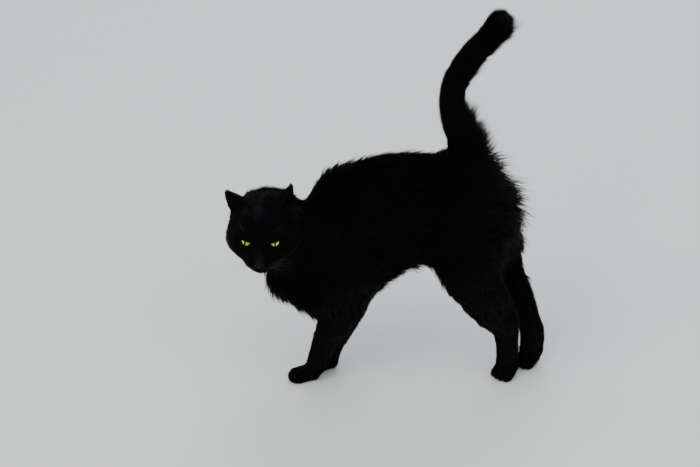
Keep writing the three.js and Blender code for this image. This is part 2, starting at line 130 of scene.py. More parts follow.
def put_places(mesh: Mesh, points: Rows) -> None:
    """Moves a mesh's vertices to the given places."""
    mesh.vertices.foreach_set("co", points.astype(np.float32).ravel())
    mesh.update()


def store(mesh: Mesh, name: str, values: Rows) -> None:
    """Writes numbers or vectors to a named attribute of a mesh's points.

    Args:
        mesh: The mesh that carries the attribute.
        name: The attribute's name.
        values: One number or one row of three for each vertex.
    """
    vector = values.ndim == 2
    kind = "FLOAT_VECTOR" if vector else "FLOAT"
    layer = mesh.attributes.new(name, kind, "POINT")
    layer.data.foreach_set("vector" if vector else "value", values.astype(np.float32).ravel())


def raw(name: str, shape: bmesh.types.BMesh) -> Mesh:
    """Turns a working shape into a mesh and frees it.

    Args:
        name: The mesh's name.
        shape: The working shape.

    Returns:
        The mesh.
    """
    mesh = bpy.data.meshes.new(name)
    shape.to_mesh(mesh)
    shape.free()
    return mesh


def show(name: str, mesh: Mesh) -> Piece:
    """Puts a mesh in the scene as an object at the origin.

    Args:
        name: The object's name.
        mesh: Its shape.

    Returns:
        The object.
    """
    piece = bpy.data.objects.new(name, mesh)
    bpy.context.scene.collection.objects.link(piece)
    return piece


def dressed(name: str, mesh: Mesh, finish: Finish) -> Piece:
    """Gives a mesh its finish, shades it smooth and shows it.

    Args:
        name: The piece's name.
        mesh: Its shape.
        finish: Its material.

    Returns:
        The piece.
    """
    mesh.materials.append(finish)
    mesh.polygons.foreach_set("use_smooth", np.ones(len(mesh.polygons), bool))
    return show(name, mesh)


def baked(piece: Piece) -> Mesh:
    """Returns a piece's evaluated shape as a plain mesh, and removes the piece.

    Args:
        piece: An object with live modifiers.

    Returns:
        The mesh.
    """
    graph = bpy.context.evaluated_depsgraph_get()
    mesh = bpy.data.meshes.new_from_object(piece.evaluated_get(graph), depsgraph=graph)
    bpy.data.objects.remove(piece)
    return mesh


def grown(name: str, host: Mesh, tree: Tree, values: dict[str, object]) -> Piece:
    """Grows a piece over a host shape with a node tree.

    Args:
        name: The piece's name.
        host: What it grows from.
        tree: The geometry node tree.
        values: The tree's named inputs.

    Returns:
        The piece, as a plain mesh.
    """
    bed = show("bed", host)
    modifier = bed.modifiers.new("growth", "NODES")
    modifier.node_group = tree
    for item in tree.interface.items_tree:
        if item.in_out == "INPUT" and item.name in values:
            modifier[item.identifier] = values[item.name]
    mesh = baked(bed)
    mesh.name = name
    return show(name, mesh)


def settle(piece: Piece, covers: Sequence[str] = ()) -> None:
    """Ties a finished piece to the one body and the solids it stands for.

    Args:
        piece: The finished piece.
        covers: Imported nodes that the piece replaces.
    """
    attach(piece, "root")
    if covers:
        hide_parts(*covers)
    count = sum(len(p.vertices) - 2 for p in piece.data.polygons)
    LOG.info("%s: %d triangles", piece.name, count)


class Wiring:
    """A node tree that is being wired."""

    def __init__(self, tree: Tree) -> None:
        """Keeps the tree that nodes are added to."""
        self.tree = tree

    def feed(self, node: Node, feeds: dict) -> Node:
        """Gives a node's sockets their values, or the outputs that feed them.

        Args:
            node: The node.
            feeds: Socket name or index, to a value or to an output.

        Returns:
            The same node.
        """
        for key, value in feeds.items():
            socket = node.inputs[key]
            if isinstance(value, Socket):
                self.tree.links.new(value, socket)
            else:
                socket.default_value = value
        return node

    def node(self, kind: str, feeds: dict | None = None, **settings: object) -> Node:
        """Adds a node.

        Args:
            kind: The node's type.
            feeds: Socket name or index, to a value or to an output that feeds it.
            settings: The node's own options.

        Returns:
            The new node.
        """
        node = self.tree.nodes.new(kind)
        for key, value in settings.items():
            setattr(node, key, value)
        return self.feed(node, feeds or {})

    def math(self, operation: str, *terms: object) -> Socket:
        """Returns the outcome of a number operation on up to three terms."""
        feeds = dict(enumerate(terms))
        return self.node("ShaderNodeMath", feeds, operation=operation).outputs[0]

    def vector(self, operation: str, *terms: object) -> Socket:
        """Returns the outcome of a vector operation on its terms."""
        node = self.node("ShaderNodeVectorMath", dict(enumerate(terms)), operation=operation)
        return node.outputs["Value" if operation in ("DOT_PRODUCT", "LENGTH") else "Vector"]

    def scaled(self, vector: object, amount: object) -> Socket:
        """Returns a vector times a number."""
        feeds = {0: vector, "Scale": amount}
        return self.node("ShaderNodeVectorMath", feeds, operation="SCALE").outputs["Vector"]

    def joined(self, x: object = 0.0, y: object = 0.0, z: object = 0.0) -> Socket:
        """Returns a vector made of three numbers."""
        return self.node("ShaderNodeCombineXYZ", {0: x, 1: y, 2: z}).outputs[0]

    def mixed(self, factor: object, first: object, second: object) -> Socket:
        """Returns a colour between two colours."""
        node = self.node("ShaderNodeMix", {0: factor, 6: first, 7: second}, data_type="RGBA")
        return node.outputs[2]

    def eased(
        self, value: object, low: float, high: float, ends: tuple[float, float] = (0, 1)
    ) -> Socket:
        """Maps a value smoothly from one range to another.

        Args:
            value: The value.
            low: Where its own range starts.
            high: Where its own range ends.
            ends: The new range.

        Returns:
            The mapped value.
        """
        feeds = {"Value": value, "From Min": low, "From Max": high}
        feeds |= {"To Min": ends[0], "To Max": ends[1]}
        node = self.node("ShaderNodeMapRange", feeds, interpolation_type="SMOOTHSTEP")
        return node.outputs["Result"]

    def noise(self, place: object, scale: float, detail: float = 2.0) -> Outputs:
        """Returns the outputs of a noise: its value first, then its colour."""
        feeds = {"Vector": place, "Scale": scale, "Detail": detail}
        return self.node("ShaderNodeTexNoise", feeds).outputs

    def chance(self, low: float, high: float, seed: int) -> Socket:
        """Returns a random number of its own for each point."""
        feeds = {2: low, 3: high, "Seed": seed}
        return self.node("FunctionNodeRandomValue", feeds).outputs[1]

    def painted(self, name: str, output: str = "Fac") -> Socket:
        """Returns an attribute of the surface that is being shaded."""
        return self.node("ShaderNodeAttribute", attribute_name=name).outputs[output]

    def relief(self, height: object, strength: float, distance: float) -> Socket:
        """Returns normals raised by a height."""
        feeds = {"Height": height, "Strength": strength, "Distance": distance}
        return self.node("ShaderNodeBump", feeds).outputs[0]

    def read(self, name: object, kind: str = "FLOAT") -> Socket:
        """Returns a named attribute of the geometry."""
        node = self.node("GeometryNodeInputNamedAttribute", {"Name": name}, data_type=kind)
        return node.outputs["Attribute"]

    def keep(
        self, geometry: object, name: str, kind: str, value: object, domain: str = "POINT"
    ) -> Socket:
        """Stores a value on the geometry.

        Args:
            geometry: What carries the value.
            name: The attribute's name.
            kind: Its type.
            value: The value.
            domain: What it is stored for.

        Returns:
            The geometry with the value.
        """
        feeds = {"Geometry": geometry, "Name": name, "Value": value}
        node = self.node("GeometryNodeStoreNamedAttribute", feeds, data_type=kind, domain=domain)
        return node.outputs[0]

    def here(self) -> Socket:
        """Returns each point's place."""
        return self.node("GeometryNodeInputPosition").outputs[0]

    def shaft(self, sides: int, rings: object) -> tuple[Socket, object]:
        """Makes a tapering shaft of unit length that knows the way along itself.

        Args:
            sides: Its number of sides.
            rings: Its number of steps from root to tip.

        Returns:
            The shaft, and the three parts of the place on it.
        """
        feeds = {"Vertices": sides, "Side Segments": rings, "Radius Top": 0.0}
        feeds |= {"Radius Bottom": 0.5, "Depth": 1.0}
        cone = self.node("GeometryNodeMeshCone", feeds, fill_type="NGON").outputs["Mesh"]
        axis = self.node("ShaderNodeSeparateXYZ", {0: self.here()}).outputs
        return self.keep(cone, "along", "FLOAT", axis[2]), axis

    def planted(
        self, points: object, shape: object, aims: tuple[object, object], size: object
    ) -> Socket:
        """Stands a shape on each point and makes them one mesh.

        Args:
            points: The points.
            shape: The shape, which points along z.
            aims: Where its z and its x point.
            size: Its scale.

        Returns:
            The mesh.
        """
        turn = self.node("FunctionNodeAxesToRotation", dict(enumerate(aims)))
        turn.primary_axis, turn.secondary_axis = "Z", "X"
        feeds = {"Points": points, "Instance": shape, "Rotation": turn.outputs[0], "Scale": size}
        stood = self.node("GeometryNodeInstanceOnPoints", feeds).outputs[0]
        return self.node("GeometryNodeRealizeInstances", {"Geometry": stood}).outputs[0]

    def moved(self, geometry: object, way: str, vector: object) -> Socket:
        """Moves points by an "Offset" or to a "Position"."""
        return self.node("GeometryNodeSetPosition", {"Geometry": geometry, way: vector}).outputs[0]

    def finished(self, geometry: object, finish: object, name: str) -> None:
        """Shades the mesh smooth, gives it its material and puts it out.

        Args:
            geometry: The mesh.
            finish: The material.
            name: The tree's output.
        """
        feeds = {"Geometry": geometry, "Shade Smooth": True}
        geometry = self.node("GeometryNodeSetShadeSmooth", feeds).outputs[0]
        feeds = {"Geometry": geometry, "Material": finish}
        geometry = self.node("GeometryNodeSetMaterial", feeds).outputs[0]
        self.node("NodeGroupOutput", {name: geometry})


def new_tree(name: str, kind: str, feeds: dict[str, tuple], gives: dict[str, str]) -> Wiring:
    """Starts a node tree with named inputs and outputs.

    Args:
        name: The tree's name.
        kind: "ShaderNodeTree" or "GeometryNodeTree".
        feeds: Input names, each with its socket's type and starting value.
        gives: Output names, each with its socket's type.

    Returns:
        The wiring of the new tree.
    """
    tree = bpy.data.node_groups.new(name, kind)
    for title, (socket_kind, value) in feeds.items():
        socket_type = f"NodeSocket{socket_kind}"
        socket = tree.interface.new_socket(title, in_out="INPUT", socket_type=socket_type)
        if value is not None:
            socket.default_value = value
    for title, socket_kind in gives.items():
        socket_type = f"NodeSocket{socket_kind}"
        tree.interface.new_socket(title, in_out="OUTPUT", socket_type=socket_type)
    return Wiring(tree)


# ---------------------------------------------------------------- the head's own axes


@dataclass(frozen=True)
class HeadFrame:
    """The head's axes: x to the cat's left, y backwards, z up, from midway between the lids."""

    origin: Rows
    axes: Rows
    eye_depth: float = 8.2
    eye_radius: float = 10.4
    half_spacing: float = 18.75

    @classmethod
    def found(cls, pitch: float = 8.0) -> "HeadFrame":
        """Finds the axes from the two eyeballs.

        Args:
            pitch: How far the head is bowed.

        Returns:
            The frame.
        """
        left = middle("eye_left")
        right = middle("eye_right")
        across = unit(left - right)
        ahead = np.array([across[1], -across[0], 0.0])
        bow = math.radians(pitch)
        forward = ahead * math.cos(bow) - np.array([0, 0, math.sin(bow)])
        upward = np.array([0, 0, math.cos(bow)]) + ahead * math.sin(bow)
        origin = (left + right) / 2.0 + forward * cls.eye_depth * MM
        return cls(origin, np.stack([across, -forward, upward]))

    def local(self, points: Rows) -> Rows:
        """Places of the scene in the head's axes, in millimetres."""
        return (points - self.origin) @ self.axes.T / MM

    def world(self, points: Rows) -> Rows:
        """Places in the head's axes brought back to the scene."""
        return np.asarray(points) * MM @ self.axes + self.origin

    def turned(self, direction: Sequence[float]) -> Rows:
        """A direction in the head's axes turned into the scene's."""
        return np.asarray(direction, float) @ self.axes

    def eye(self, side: int) -> Rows:
        """The middle of the left (1) or the right (-1) eyeball, in the head's axes."""
        return np.array([side * self.half_spacing, self.eye_depth, 0.0])


@dataclass(frozen=True)
class LidOpening:
    """The almond between the lids, measured in millimetres over the eyeball.

    Its edges lie by rise over and by drop under an axis that slants up outwards. It is
    shifted inward and raised, and faces up by the aim in degrees. The lids lie a
    thickness over the eyeball, rise by the slope away from the opening and fade into
    the face over the reach. Inside the opening the skin is sunk.
    """

    half_width: float = 5.2
    rise: float = -0.2
    drop: float = 4.7
    slant: float = 1.8
    inward: float = 0.8
    raised: float = 1.4
    aim: float = 8.4
    roundness: float = 0.62
    thickness: float = 0.9
    slope: float = 0.10
    reach: float = 3.2
    sunk: float = 1.6

    def axes(self) -> tuple[Rows, Rows]:
        """Where the opening faces.

        Returns:
            Its forward and its upward direction in the head's axes.
        """
        tilt = math.radians(self.aim)
        forward = np.array([0.0, -math.cos(tilt), math.sin(tilt)])
        return forward, np.array([0.0, math.sin(tilt), math.cos(tilt)])

    def inside(self, out: Rows, up: Rows) -> Rows:
        """How far inside the almond a spot on the eyeball lies.

        Args:
            out: Distance towards the outer corner.
            up: Distance upwards.

        Returns:
            Distance to the nearest margin, below zero outside.
        """
        out = out + self.inward
        up = up - self.raised
        t = np.clip(out / self.half_width, -1.0, 1.0)
        arch = (1.0 - t * t) ** self.roundness
        top = self.rise * arch + self.slant * t
        bottom = self.slant * t - self.drop * arch
        within = np.minimum(top - up, up - bottom)
        past = np.abs(out) - self.half_width
        return np.where(past > 0, -np.hypot(past, np.abs(up - self.slant * t)), within)


# ---------------------------------------------------------------- coat growth


@dataclass(frozen=True)
class Growth:
    """How the coat grows on one part of the body.

    Lengths and girths are in millimetres, lift in degrees above the skin, and sown
    is how thickly the tufts stand compared with other parts. Ease is how far the
    skin under it is smoothed.
    """

    length: float
    lift: float
    girth: float
    sown: float
    lie: Triple
    ease: float
    by_head: bool = False


def pair(*parts: str) -> tuple[str, ...]:
    """The left and the right node of each named part."""
    return tuple(f"{part}_{side}" for part in parts for side in ("left", "right"))


def both(**parts: Growth) -> dict[str, Growth]:
    """The same growth for the left and the right of each named part."""
    return {node: growth for part, growth in parts.items() for node in pair(part)}


BACKWARDS: Triple = (0.0, 1.0, -0.1)
GROWTH: dict[str, Growth] = {
    "nose": Growth(2.0, 10, 0.5, 3.4, (0, 1, 0.4), 0.2, True),
    **both(eye=Growth(1.6, 10, 0.45, 3.4, BACKWARDS, 0.1, True)),
    "face": Growth(4.2, 15, 0.5, 3.0, (0, 1, 0.15), 0.25, True),
    "head": Growth(9.0, 19, 0.7, 1.6, BACKWARDS, 0.5, True),
    **both(ear=Growth(3.4, 9, 0.42, 2.4, (0, 0.1, 1), 0.05, True)),
    "neck": Growth(16, 22, 0.95, 0.85, (0.95, 0.25, -0.35), 1.0),
    "chest": Growth(18, 19, 1.0, 0.62, (0.95, 0, -0.3), 1.0),
    "belly": Growth(20, 20, 1.05, 0.6, (0.9, 0, -0.35), 1.0),
    "rump": Growth(20, 20, 1.0, 0.62, (0.75, 0, -0.55), 1.0),
    "tail_1": Growth(17, 17, 0.7, 0.8, (-0.05, 0, 1), 0.8),
    "tail_2": Growth(14, 14, 0.6, 0.95, (-0.3, 0, 1), 0.8),
    "tail_3": Growth(13, 14, 0.58, 1.0, (0.15, 0, 1), 0.8),
    "tail_4": Growth(13, 17, 0.58, 1.05, (0.6, 0, 0.8), 1.0),
    **both(
        arm=Growth(13, 17, 0.85, 0.95, (0.2, 0, -1), 0.7),
        forearm=Growth(7.5, 13, 0.6, 1.6, (0.05, 0, -1), 0.5),
        forepaw=Growth(3.8, 12, 0.45, 2.6, (-1, -0.15, -0.3), 0.4),
        thigh=Growth(18, 19, 1.0, 0.68, (0.4, 0, -0.9), 0.9),
        shank=Growth(9, 15, 0.65, 1.4, (0.25, 0, -1), 0.5),
        hindpaw=Growth(3.8, 12, 0.45, 2.6, (-0.65, -0.7, -0.3), 0.5),
    ),
}
FLESH = tuple(name for name in GROWTH if name not in ("nose", *pair("eye")))
PAWS = pair("forepaw", "hindpaw")
TRUNK = ("chest", "belly", "rump", "neck")


@dataclass(frozen=True)
class Accent:
    """What the coat gains at one place, or loses where it is below zero.

    Length and tucked, which is how much deeper the skin lies, are in millimetres,
    lift in degrees, and ragged is how uneven the tufts' lengths are, up to 1.
    """

    length: float
    lift: float
    ragged: float = 0.0
    tucked: float = 0.0


PLAINLY_RAGGED = 0.12
SETTLED: dict[str, Accent] = {"taper": Accent(-7.5, -3.0), "trunk": Accent(0.0, 3.0, 0.2)}
ACCENTS: dict[str, Accent] = {
    "plume": Accent(11.0, 24.0, 0.55, 13.0),
    "tail_plume": Accent(0.0, 0.0, 0.0, -3.5),
    "breeches": Accent(7.0, 16.0, 0.6, 12.0),
    "fringe": Accent(3.0, 12.0, 0.6, 4.2),
    "hump": Accent(2.0, 7.0),
    "fall": Accent(3.5, 6.5, 0.28),
    "cap": Accent(-4.0, 38.0, 0.3, 2.0),
    "crown": Accent(4.0, 20.0, 0.3),
}
TRIMS: dict[str, float] = {
    "flank": 5.4,
    "hump": 3.4,
    "loin": 1.2,
    "bib": 2.6,
    "hock": 2.4,
    "arch": -4.6,
    "withers": -4.0,
    "shin": -2.6,
    "crown": -1.0,
}


class Weave(Enum):
    """How many rings a tuft of the coat has between root and tip."""

    SHORT = 1
    LONG = 2


@dataclass(frozen=True)
class Plot:
    """A stretch of the coat that is one piece."""

    name: str
    nodes: tuple[str, ...]
    tufts: int
    weave: Weave
    seed: int
    clump: float = 0.45


PLOTS: tuple[Plot, ...] = (
    Plot("coat_face", ("face", "nose", *pair("eye")), 34000, Weave.SHORT, 11, 0.15),
    Plot("coat_head", ("head",), 15000, Weave.LONG, 12, 0.3),
    Plot("coat_ears", pair("ear"), 13000, Weave.SHORT, 13, 0.1),
    Plot("coat_neck", ("neck",), 12000, Weave.LONG, 14),
    Plot("coat_chest", ("chest",), 17500, Weave.LONG, 15),
    Plot("coat_belly", ("belly",), 14000, Weave.LONG, 16),
    Plot("coat_rump", ("rump",), 18000, Weave.LONG, 17),
    Plot("coat_tail", tuple(f"tail_{n}" for n in (1, 2, 3, 4)), 38000, Weave.SHORT, 18, 0.12),
    Plot("coat_thighs", pair("thigh"), 14500, Weave.LONG, 19),
    Plot("coat_arms", pair("arm"), 8000, Weave.LONG, 20),
    Plot("coat_shins", pair("forearm", "shank"), 23000, Weave.SHORT, 21, 0.25),
    Plot("coat_paws", PAWS, 18000, Weave.SHORT, 22, 0.1),
)


def toe_axes(paw: str) -> tuple[Rows, Rows]:
    """Finds which way a paw points on the floor.

    Args:
        paw: A paw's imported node.

    Returns:
        The directions ahead and across.
    """
    ahead = unit(np.array(GROWTH[paw].lie) * (1, 1, 0))
    return ahead, np.array([-ahead[1], ahead[0], 0.0])


# ---------------------------------------------------------------- skin


@dataclass
class Web:
    """The neighbours of each vertex of a mesh, for smoothing values over it."""

    ends: Rows
    count: int
    share: Rows = field(init=False)

    def __post_init__(self) -> None:
        """Counts each vertex's neighbours."""
        self.share = 1.0 / np.maximum(np.bincount(self.ends.ravel(), minlength=self.count), 1)

    @classmethod
    def over(cls, mesh: Mesh) -> "Web":
        """Reads the edges of a mesh.

        Args:
            mesh: The mesh.

        Returns:
            Its web.
        """
        flat = np.empty(len(mesh.edges) * 2, np.int32)
        mesh.edges.foreach_get("vertices", flat)
        return cls(flat.reshape(-1, 2), len(mesh.vertices))

    def mean(self, values: Rows) -> Rows:
        """Finds the mean of each vertex's neighbours.

        Args:
            values: One row for each vertex.

        Returns:
            The means, in rows of the same kind.
        """
        a, b = self.ends.T
        found = np.empty_like(values)
        for k in range(values.shape[1]):
            column = values[:, k]
            total = np.bincount(a, column[b], self.count) + np.bincount(b, column[a], self.count)
            found[:, k] = total * self.share
        return found

    def spread(self, values: Rows, times: int) -> Rows:
        """Averages values over the surface.

        Args:
            values: One row for each vertex.
            times: How often they are averaged with their neighbours.

        Returns:
            The averaged values.
        """
        for _ in range(times):
            values = 0.5 * values + 0.5 * self.mean(values)
        return values

    def relaxed(self, points: Rows, ease: Rows, times: int) -> Rows:
        """Smooths places without shrinking the form.

        Args:
            points: One row for each vertex.
            ease: How much of each step a vertex takes, from 0 to 1.
            times: Pairs of steps.

        Returns:
            The smoothed places.
        """
        for _ in range(times):
            for step in (0.5, -0.52):
                points = points + step * ease * (self.mean(points) - points)
        return points


@dataclass
class Skin:
    """The one skin under the coat, with the values that the coat grows from.

    Voxel is the size of its first even faces, swell how far the solids grow before
    they are joined, fit how much of the coat's depth the skin is sunk by, and least
    the lowest that it reaches over the floor. Borders and blend are how often the
    parts' shares are averaged, smoothing and tail smoothing how often the form is,
    and settling how often it is once sunk. Nose and bed are the nose's place and half
    sizes, and groove and groove depth the spacing and depth between the toes.
    """

    head: HeadFrame
    opening: LidOpening
    voxel: float = 2.38
    swell: float = 0.25
    fit: float = 0.9
    paw_gap: float = 2.0
    least: float = 0.6
    borders: int = 3
    blend: int = 14
    smoothing: int = 22
    tail_smoothing: int = 45
    settling: int = 4
    groove: float = 6.5
    groove_depth: float = 2.8
    nose: Triple = (0.0, -19.5, -18.0)
    bed: Triple = (7.6, 7.0, 5.4)
    names: tuple[str, ...] = tuple(GROWTH)
    mesh: Mesh = field(init=False)

    def build(self, finish: Finish) -> Piece:
        """Makes the skin.

        Args:
            finish: The dark skin material.

        Returns:
            The piece.
        """
        self.mesh = self.closed_form()
        self.unwrap()
        self.refine()
        web = Web.over(self.mesh)
        points = places(self.mesh)
        shares = web.spread(self.owners(points), self.borders)
        wide = web.spread(shares, self.blend)
        ease = np.clip(wide @ np.array([[GROWTH[n].ease] for n in self.names]), 0, 1)
        points = web.relaxed(points, ease, self.smoothing)
        tail = self.part(wide, "tail_4")[:, None]
        points = web.relaxed(points, tail, self.tail_smoothing)
        put_places(self.mesh, points)
        points = self.pinned_ears(points, shares)
        put_places(self.mesh, points)
        normals = unit(web.spread(read_rows(self.mesh.vertex_normals, "vector"), 3))
        growth = self.growth(points, normals, wide, web)
        depth = self.fit * growth.pop("depth")
        points = points - normals * (depth + self.swell * MM)[:, None]
        points = web.relaxed(points, ease * 0.6, self.settling)
        points = self.toes(points, normals)
        points = self.features(points, growth)
        points[:, 2] = np.maximum(points[:, 2], self.least * MM)
        put_places(self.mesh, points)
        for plot in PLOTS:
            growth[plot.name] = self.part(shares, *plot.nodes) * growth["sown"]
        for name, values in growth.items():
            store(self.mesh, name, values)
        return dressed("skin", self.mesh, finish)

    def part(self, shares: Rows, *nodes: str) -> Rows:
        """Each vertex's share of some nodes together."""
        return sum(shares[:, self.names.index(node)] for node in nodes)

    def closed_form(self) -> Mesh:
        """Joins the body's solids into one closed surface of even faces.

        The inner faces of the paws draw apart, so that left and right don't join.

        Returns:
            The surface.
        """
        joined = bmesh.new()
        for name in self.names:
            part = bmesh.new()
            part.from_mesh(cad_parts[name].data)
            bmesh.ops.remove_doubles(part, verts=part.verts, dist=1e-6)
            part.normal_update()
            inwards = self.inwards(name)
            for vertex in part.verts:
                gap = self.paw_gap * max(0.0, vertex.normal.y * inwards)
                vertex.co = vertex.co + vertex.normal * (self.swell - gap) * MM
            plain = raw("part", part)
            joined.from_mesh(plain)
            bpy.data.meshes.remove(plain)
        form = show("form", raw("form", joined))
        remesh = form.modifiers.new("even", "REMESH")
        remesh.mode = "VOXEL"
        remesh.voxel_size = self.voxel * MM
        return baked(form)

    @staticmethod
    def inwards(name: str) -> float:
        """Which way along y the other side's paw lies.

        Args:
            name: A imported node.

        Returns:
            1 or -1, or 0 for a node that isn't a paw.
        """
        if name not in PAWS:
            return 0.0
        return 1.0 if name.endswith("left") else -1.0

    def unwrap(self) -> None:
        """Lays the skin out flat on its own map.

        The map is made of the skin's own shape, before the coat's depth is taken off.
        """
        piece = show("flat", self.mesh)
        bpy.context.view_layer.objects.active = piece
        piece.select_set(True)
        self.mesh.uv_layers.new(name="OFBake")
        bpy.ops.object.mode_set(mode="EDIT")
        bpy.ops.mesh.select_all(action="SELECT")
        bpy.ops.uv.smart_project(angle_limit=math.radians(70), island_margin=0.004)
        bpy.ops.object.mode_set(mode="OBJECT")
        bpy.data.objects.remove(piece)

    def refine(self) -> None:
        """Gives fine forms finer faces.

        The face, the ears and the paws are divided once, the eyes' and the nose's
        surrounds twice, and the lids' margins three times.
        """
        shape = bmesh.new()
        shape.from_mesh(self.mesh)
        for level in range(3):
            shape.faces.ensure_lookup_table()
            spots = np.array([part.calc_center_median() for part in shape.faces])
            chosen = np.flatnonzero(self.fine(spots)[level])
            edges = {edge for index in chosen for edge in shape.faces[index].edges}
            ordered = sorted(edges, key=lambda edge: edge.index)
            bmesh.ops.subdivide_edges(shape, edges=ordered, cuts=1, use_grid_fill=True)
            shape.edges.index_update()
        bmesh.ops.triangulate(shape, faces=shape.faces)
        shape.to_mesh(self.mesh)
        shape.free()

    def fine(self, spots: Rows) -> tuple[Rows, Rows, Rows]:
        """Finds where the forms are fine.

        Args:
            spots: Places.

        Returns:
            Which lie on the face, ears or paws, round eyes or nose, and on the lids' margins.
        """
        local = self.head.local(spots)
        face = np.linalg.norm(local - (0.0, 2.0, -6.0), axis=1) < 40
        for name in PAWS + pair("ear"):
            face |= np.all((spots >= corner(name, 0)) & (spots <= corner(name, 1)), axis=1)
        eyes = np.linalg.norm(local - (0.0, -19.0, -19.0), axis=1) < 9
        lids = np.zeros(len(spots), bool)
        for side in (-1, 1):
            centre = (side * self.head.half_spacing, 0.0, 0.0)
            eyes |= np.linalg.norm(local - centre, axis=1) < 11
            _, _, gap, front = self.around_eye(local, side)
            lids |= front & (np.abs(gap) < 1.0)
        return face, eyes, lids

    def owners(self, points: Rows) -> Rows:
        """Finds the solid nearest to each vertex.

        Args:
            points: Places of the skin's vertices.

        Returns:
            A row for each vertex with 1 in the column of its solid.
        """
        spots: list[list[float]] = []
        faces: list[list[int]] = []
        owner: list[int] = []
        for index, name in enumerate(self.names):
            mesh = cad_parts[name].data
            start = len(spots)
            spots += places(mesh).tolist()
            faces += [[start + v for v in p.vertices] for p in mesh.polygons]
            owner += [index] * len(mesh.polygons)
        tree = BVHTree.FromPolygons(spots, faces)
        table = np.zeros((len(points), len(self.names)))
        for row, spot in enumerate(points.tolist()):
            table[row, owner[tree.find_nearest(spot)[2]]] = 1.0
        return table

    def pinned_ears(self, points: Rows, shares: Rows) -> Rows:
        """Brings the ears back to their solids' sharp edges and tips.

        Args:
            points: Places on the smoothed form.
            shares: Each vertex's share of the parts.

        Returns:
            The new places.
        """
        pushed = points + read_rows(self.mesh.vertex_normals, "vector") * 1.2 * MM
        for name in pair("ear"):
            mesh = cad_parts[name].data
            faces = [list(p.vertices) for p in mesh.polygons]
            tree = BVHTree.FromPolygons(places(mesh).tolist(), faces)
            share = ramp(self.part(shares, name), 0.55, 0.9)
            for row in np.flatnonzero(share > 0):
                spot = np.array(tree.find_nearest(pushed[row].tolist())[0])
                points[row] += share[row] * (spot - points[row])
        return points

    def growth(self, points: Rows, normals: Rows, wide: Rows, web: Web) -> Masks:
        """Works out how the coat grows at each vertex.

        Args:
            points: Places on the smoothed form.
            normals: Outward directions there.
            wide: Each vertex's share of the parts, eased across their borders.
            web: The skin's neighbours.

        Returns:
            Named values for each vertex, in metres and radians.
        """
        table = [GROWTH[name] for name in self.names]
        plain = wide @ np.array([(g.length, g.lift, g.girth, g.sown) for g in table])
        length, lift, girth, sown = plain.T
        lies = [self.head.turned(g.lie) if g.by_head else np.array(g.lie) for g in table]
        lie = wide @ unit(np.array(lies))
        local = self.head.local(points)
        masks = self.standing_out(points, normals, wide)
        ragged = np.full(len(points), PLAINLY_RAGGED)
        values = np.stack([length, lift, ragged, np.zeros(len(points))])
        for name, accent in SETTLED.items():
            values += np.outer(astuple(accent), masks[name])
        calm = values[0] * np.sin(np.radians(values[1])) + self.trimmed(points, normals, wide)
        for name, accent in ACCENTS.items():
            values += np.outer(astuple(accent), masks[name])
        length, lift, ragged, tucked = values
        lie = lie + masks["plume"][:, None] * np.array([0.75, 0.0, 0.9])
        lie = lie + masks["fall"][:, None] * np.array([0.1, 0.0, -0.5])
        lie, length, lift = self.on_face(local, lie, length, lift)
        lie = lie - normals * np.sum(lie * normals, axis=1, keepdims=True)
        lie = unit(web.spread(unit(lie), 6))
        lie = unit(lie - normals * np.sum(lie * normals, axis=1, keepdims=True))
        inner = ramp(-(normals @ self.head.axes[1]), 0.2, 0.7) * self.part(wide, *pair("ear"))
        return {
            "lie": lie,
            "coat_length": length * MM,
            "lift": np.radians(lift),
            "girth": girth * MM,
            "sown": sown + 0.8 * masks["cap"],
            "rust": np.clip(masks["plume"] + 0.8 * inner, 0, 1),
            # A painted bluish sheen on the nose's bridge and the forehead.
            "frost": self.frost(local),
            "ragged": np.clip(ragged, 0.0, 1.0),
            "depth": np.maximum(calm + tucked, 0.3) * MM,
        }

    def standing_out(self, points: Rows, normals: Rows, wide: Rows) -> Masks:
        """Finds where the coat changes.

        Args:
            points: Places on the smoothed form.
            normals: Outward directions there.
            wide: Each vertex's share of the parts.

        Returns:
            A mask from 0 to 1 for each accent: the thighs' taper, the trunk, the plume
            behind the tail's root, the breeches under it and the fringe down the
            thighs, the hump of the withers, the fall under belly and chest, the cap
            of the tail, and the crown.
        """
        height = points[:, 2]
        root, top = corner("tail_1", 0)[2], corner("tail_1", 1)[2]
        above = (height - root) / MM
        rear = ramp(normals[:, 0], 0.15, 0.7) * ramp(points[:, 0], 0.07, 0.10)
        plume = rear * ramp(above, -85, -30) * ramp(height, top + 0.012, top - 0.02)
        breeches = rear * ramp(above, -155, -60) * (1.0 - plume) * ramp(height, top, root + 0.01)
        knee = corner("shank_right", 1)[2]
        low, high = corner("chest", 0), corner("chest", 1)
        hump = ramp(height, high[2] - 0.045, high[2] - 0.01)
        under = ramp(-normals[:, 2], 0.35, 0.85) * self.part(wide, "belly")
        bib = ramp(-normals[:, 2] - 0.4 * normals[:, 0], 0.25, 0.8)
        bib = bib * ramp(points[:, 0], -0.03, -0.06) * self.part(wide, "chest", "neck")
        tip = unit(middle("tail_4") - middle("tail_3"))
        crown = ramp(normals[:, 2], 0.2, 0.6) * self.part(wide, "head")
        return {
            "taper": self.part(wide, *pair("thigh")) * ramp(height, knee + 0.09, knee),
            "trunk": self.part(wide, *TRUNK),
            "plume": plume,
            "tail_plume": plume * ramp(above, -10, 20),
            "breeches": breeches,
            "fringe": rear * ramp(above, -260, -150) * (1.0 - plume - breeches),
            "hump": hump * ramp(points[:, 0], high[0] + 0.02, low[0] + 0.02),
            "fall": np.clip(under + bib, 0.0, 1.0),
            "cap": ramp(normals @ tip, 0.45, 0.95) * self.part(wide, "tail_4"),
            "crown": crown * ramp(self.head.local(points)[:, 0], -6, 12),
        }

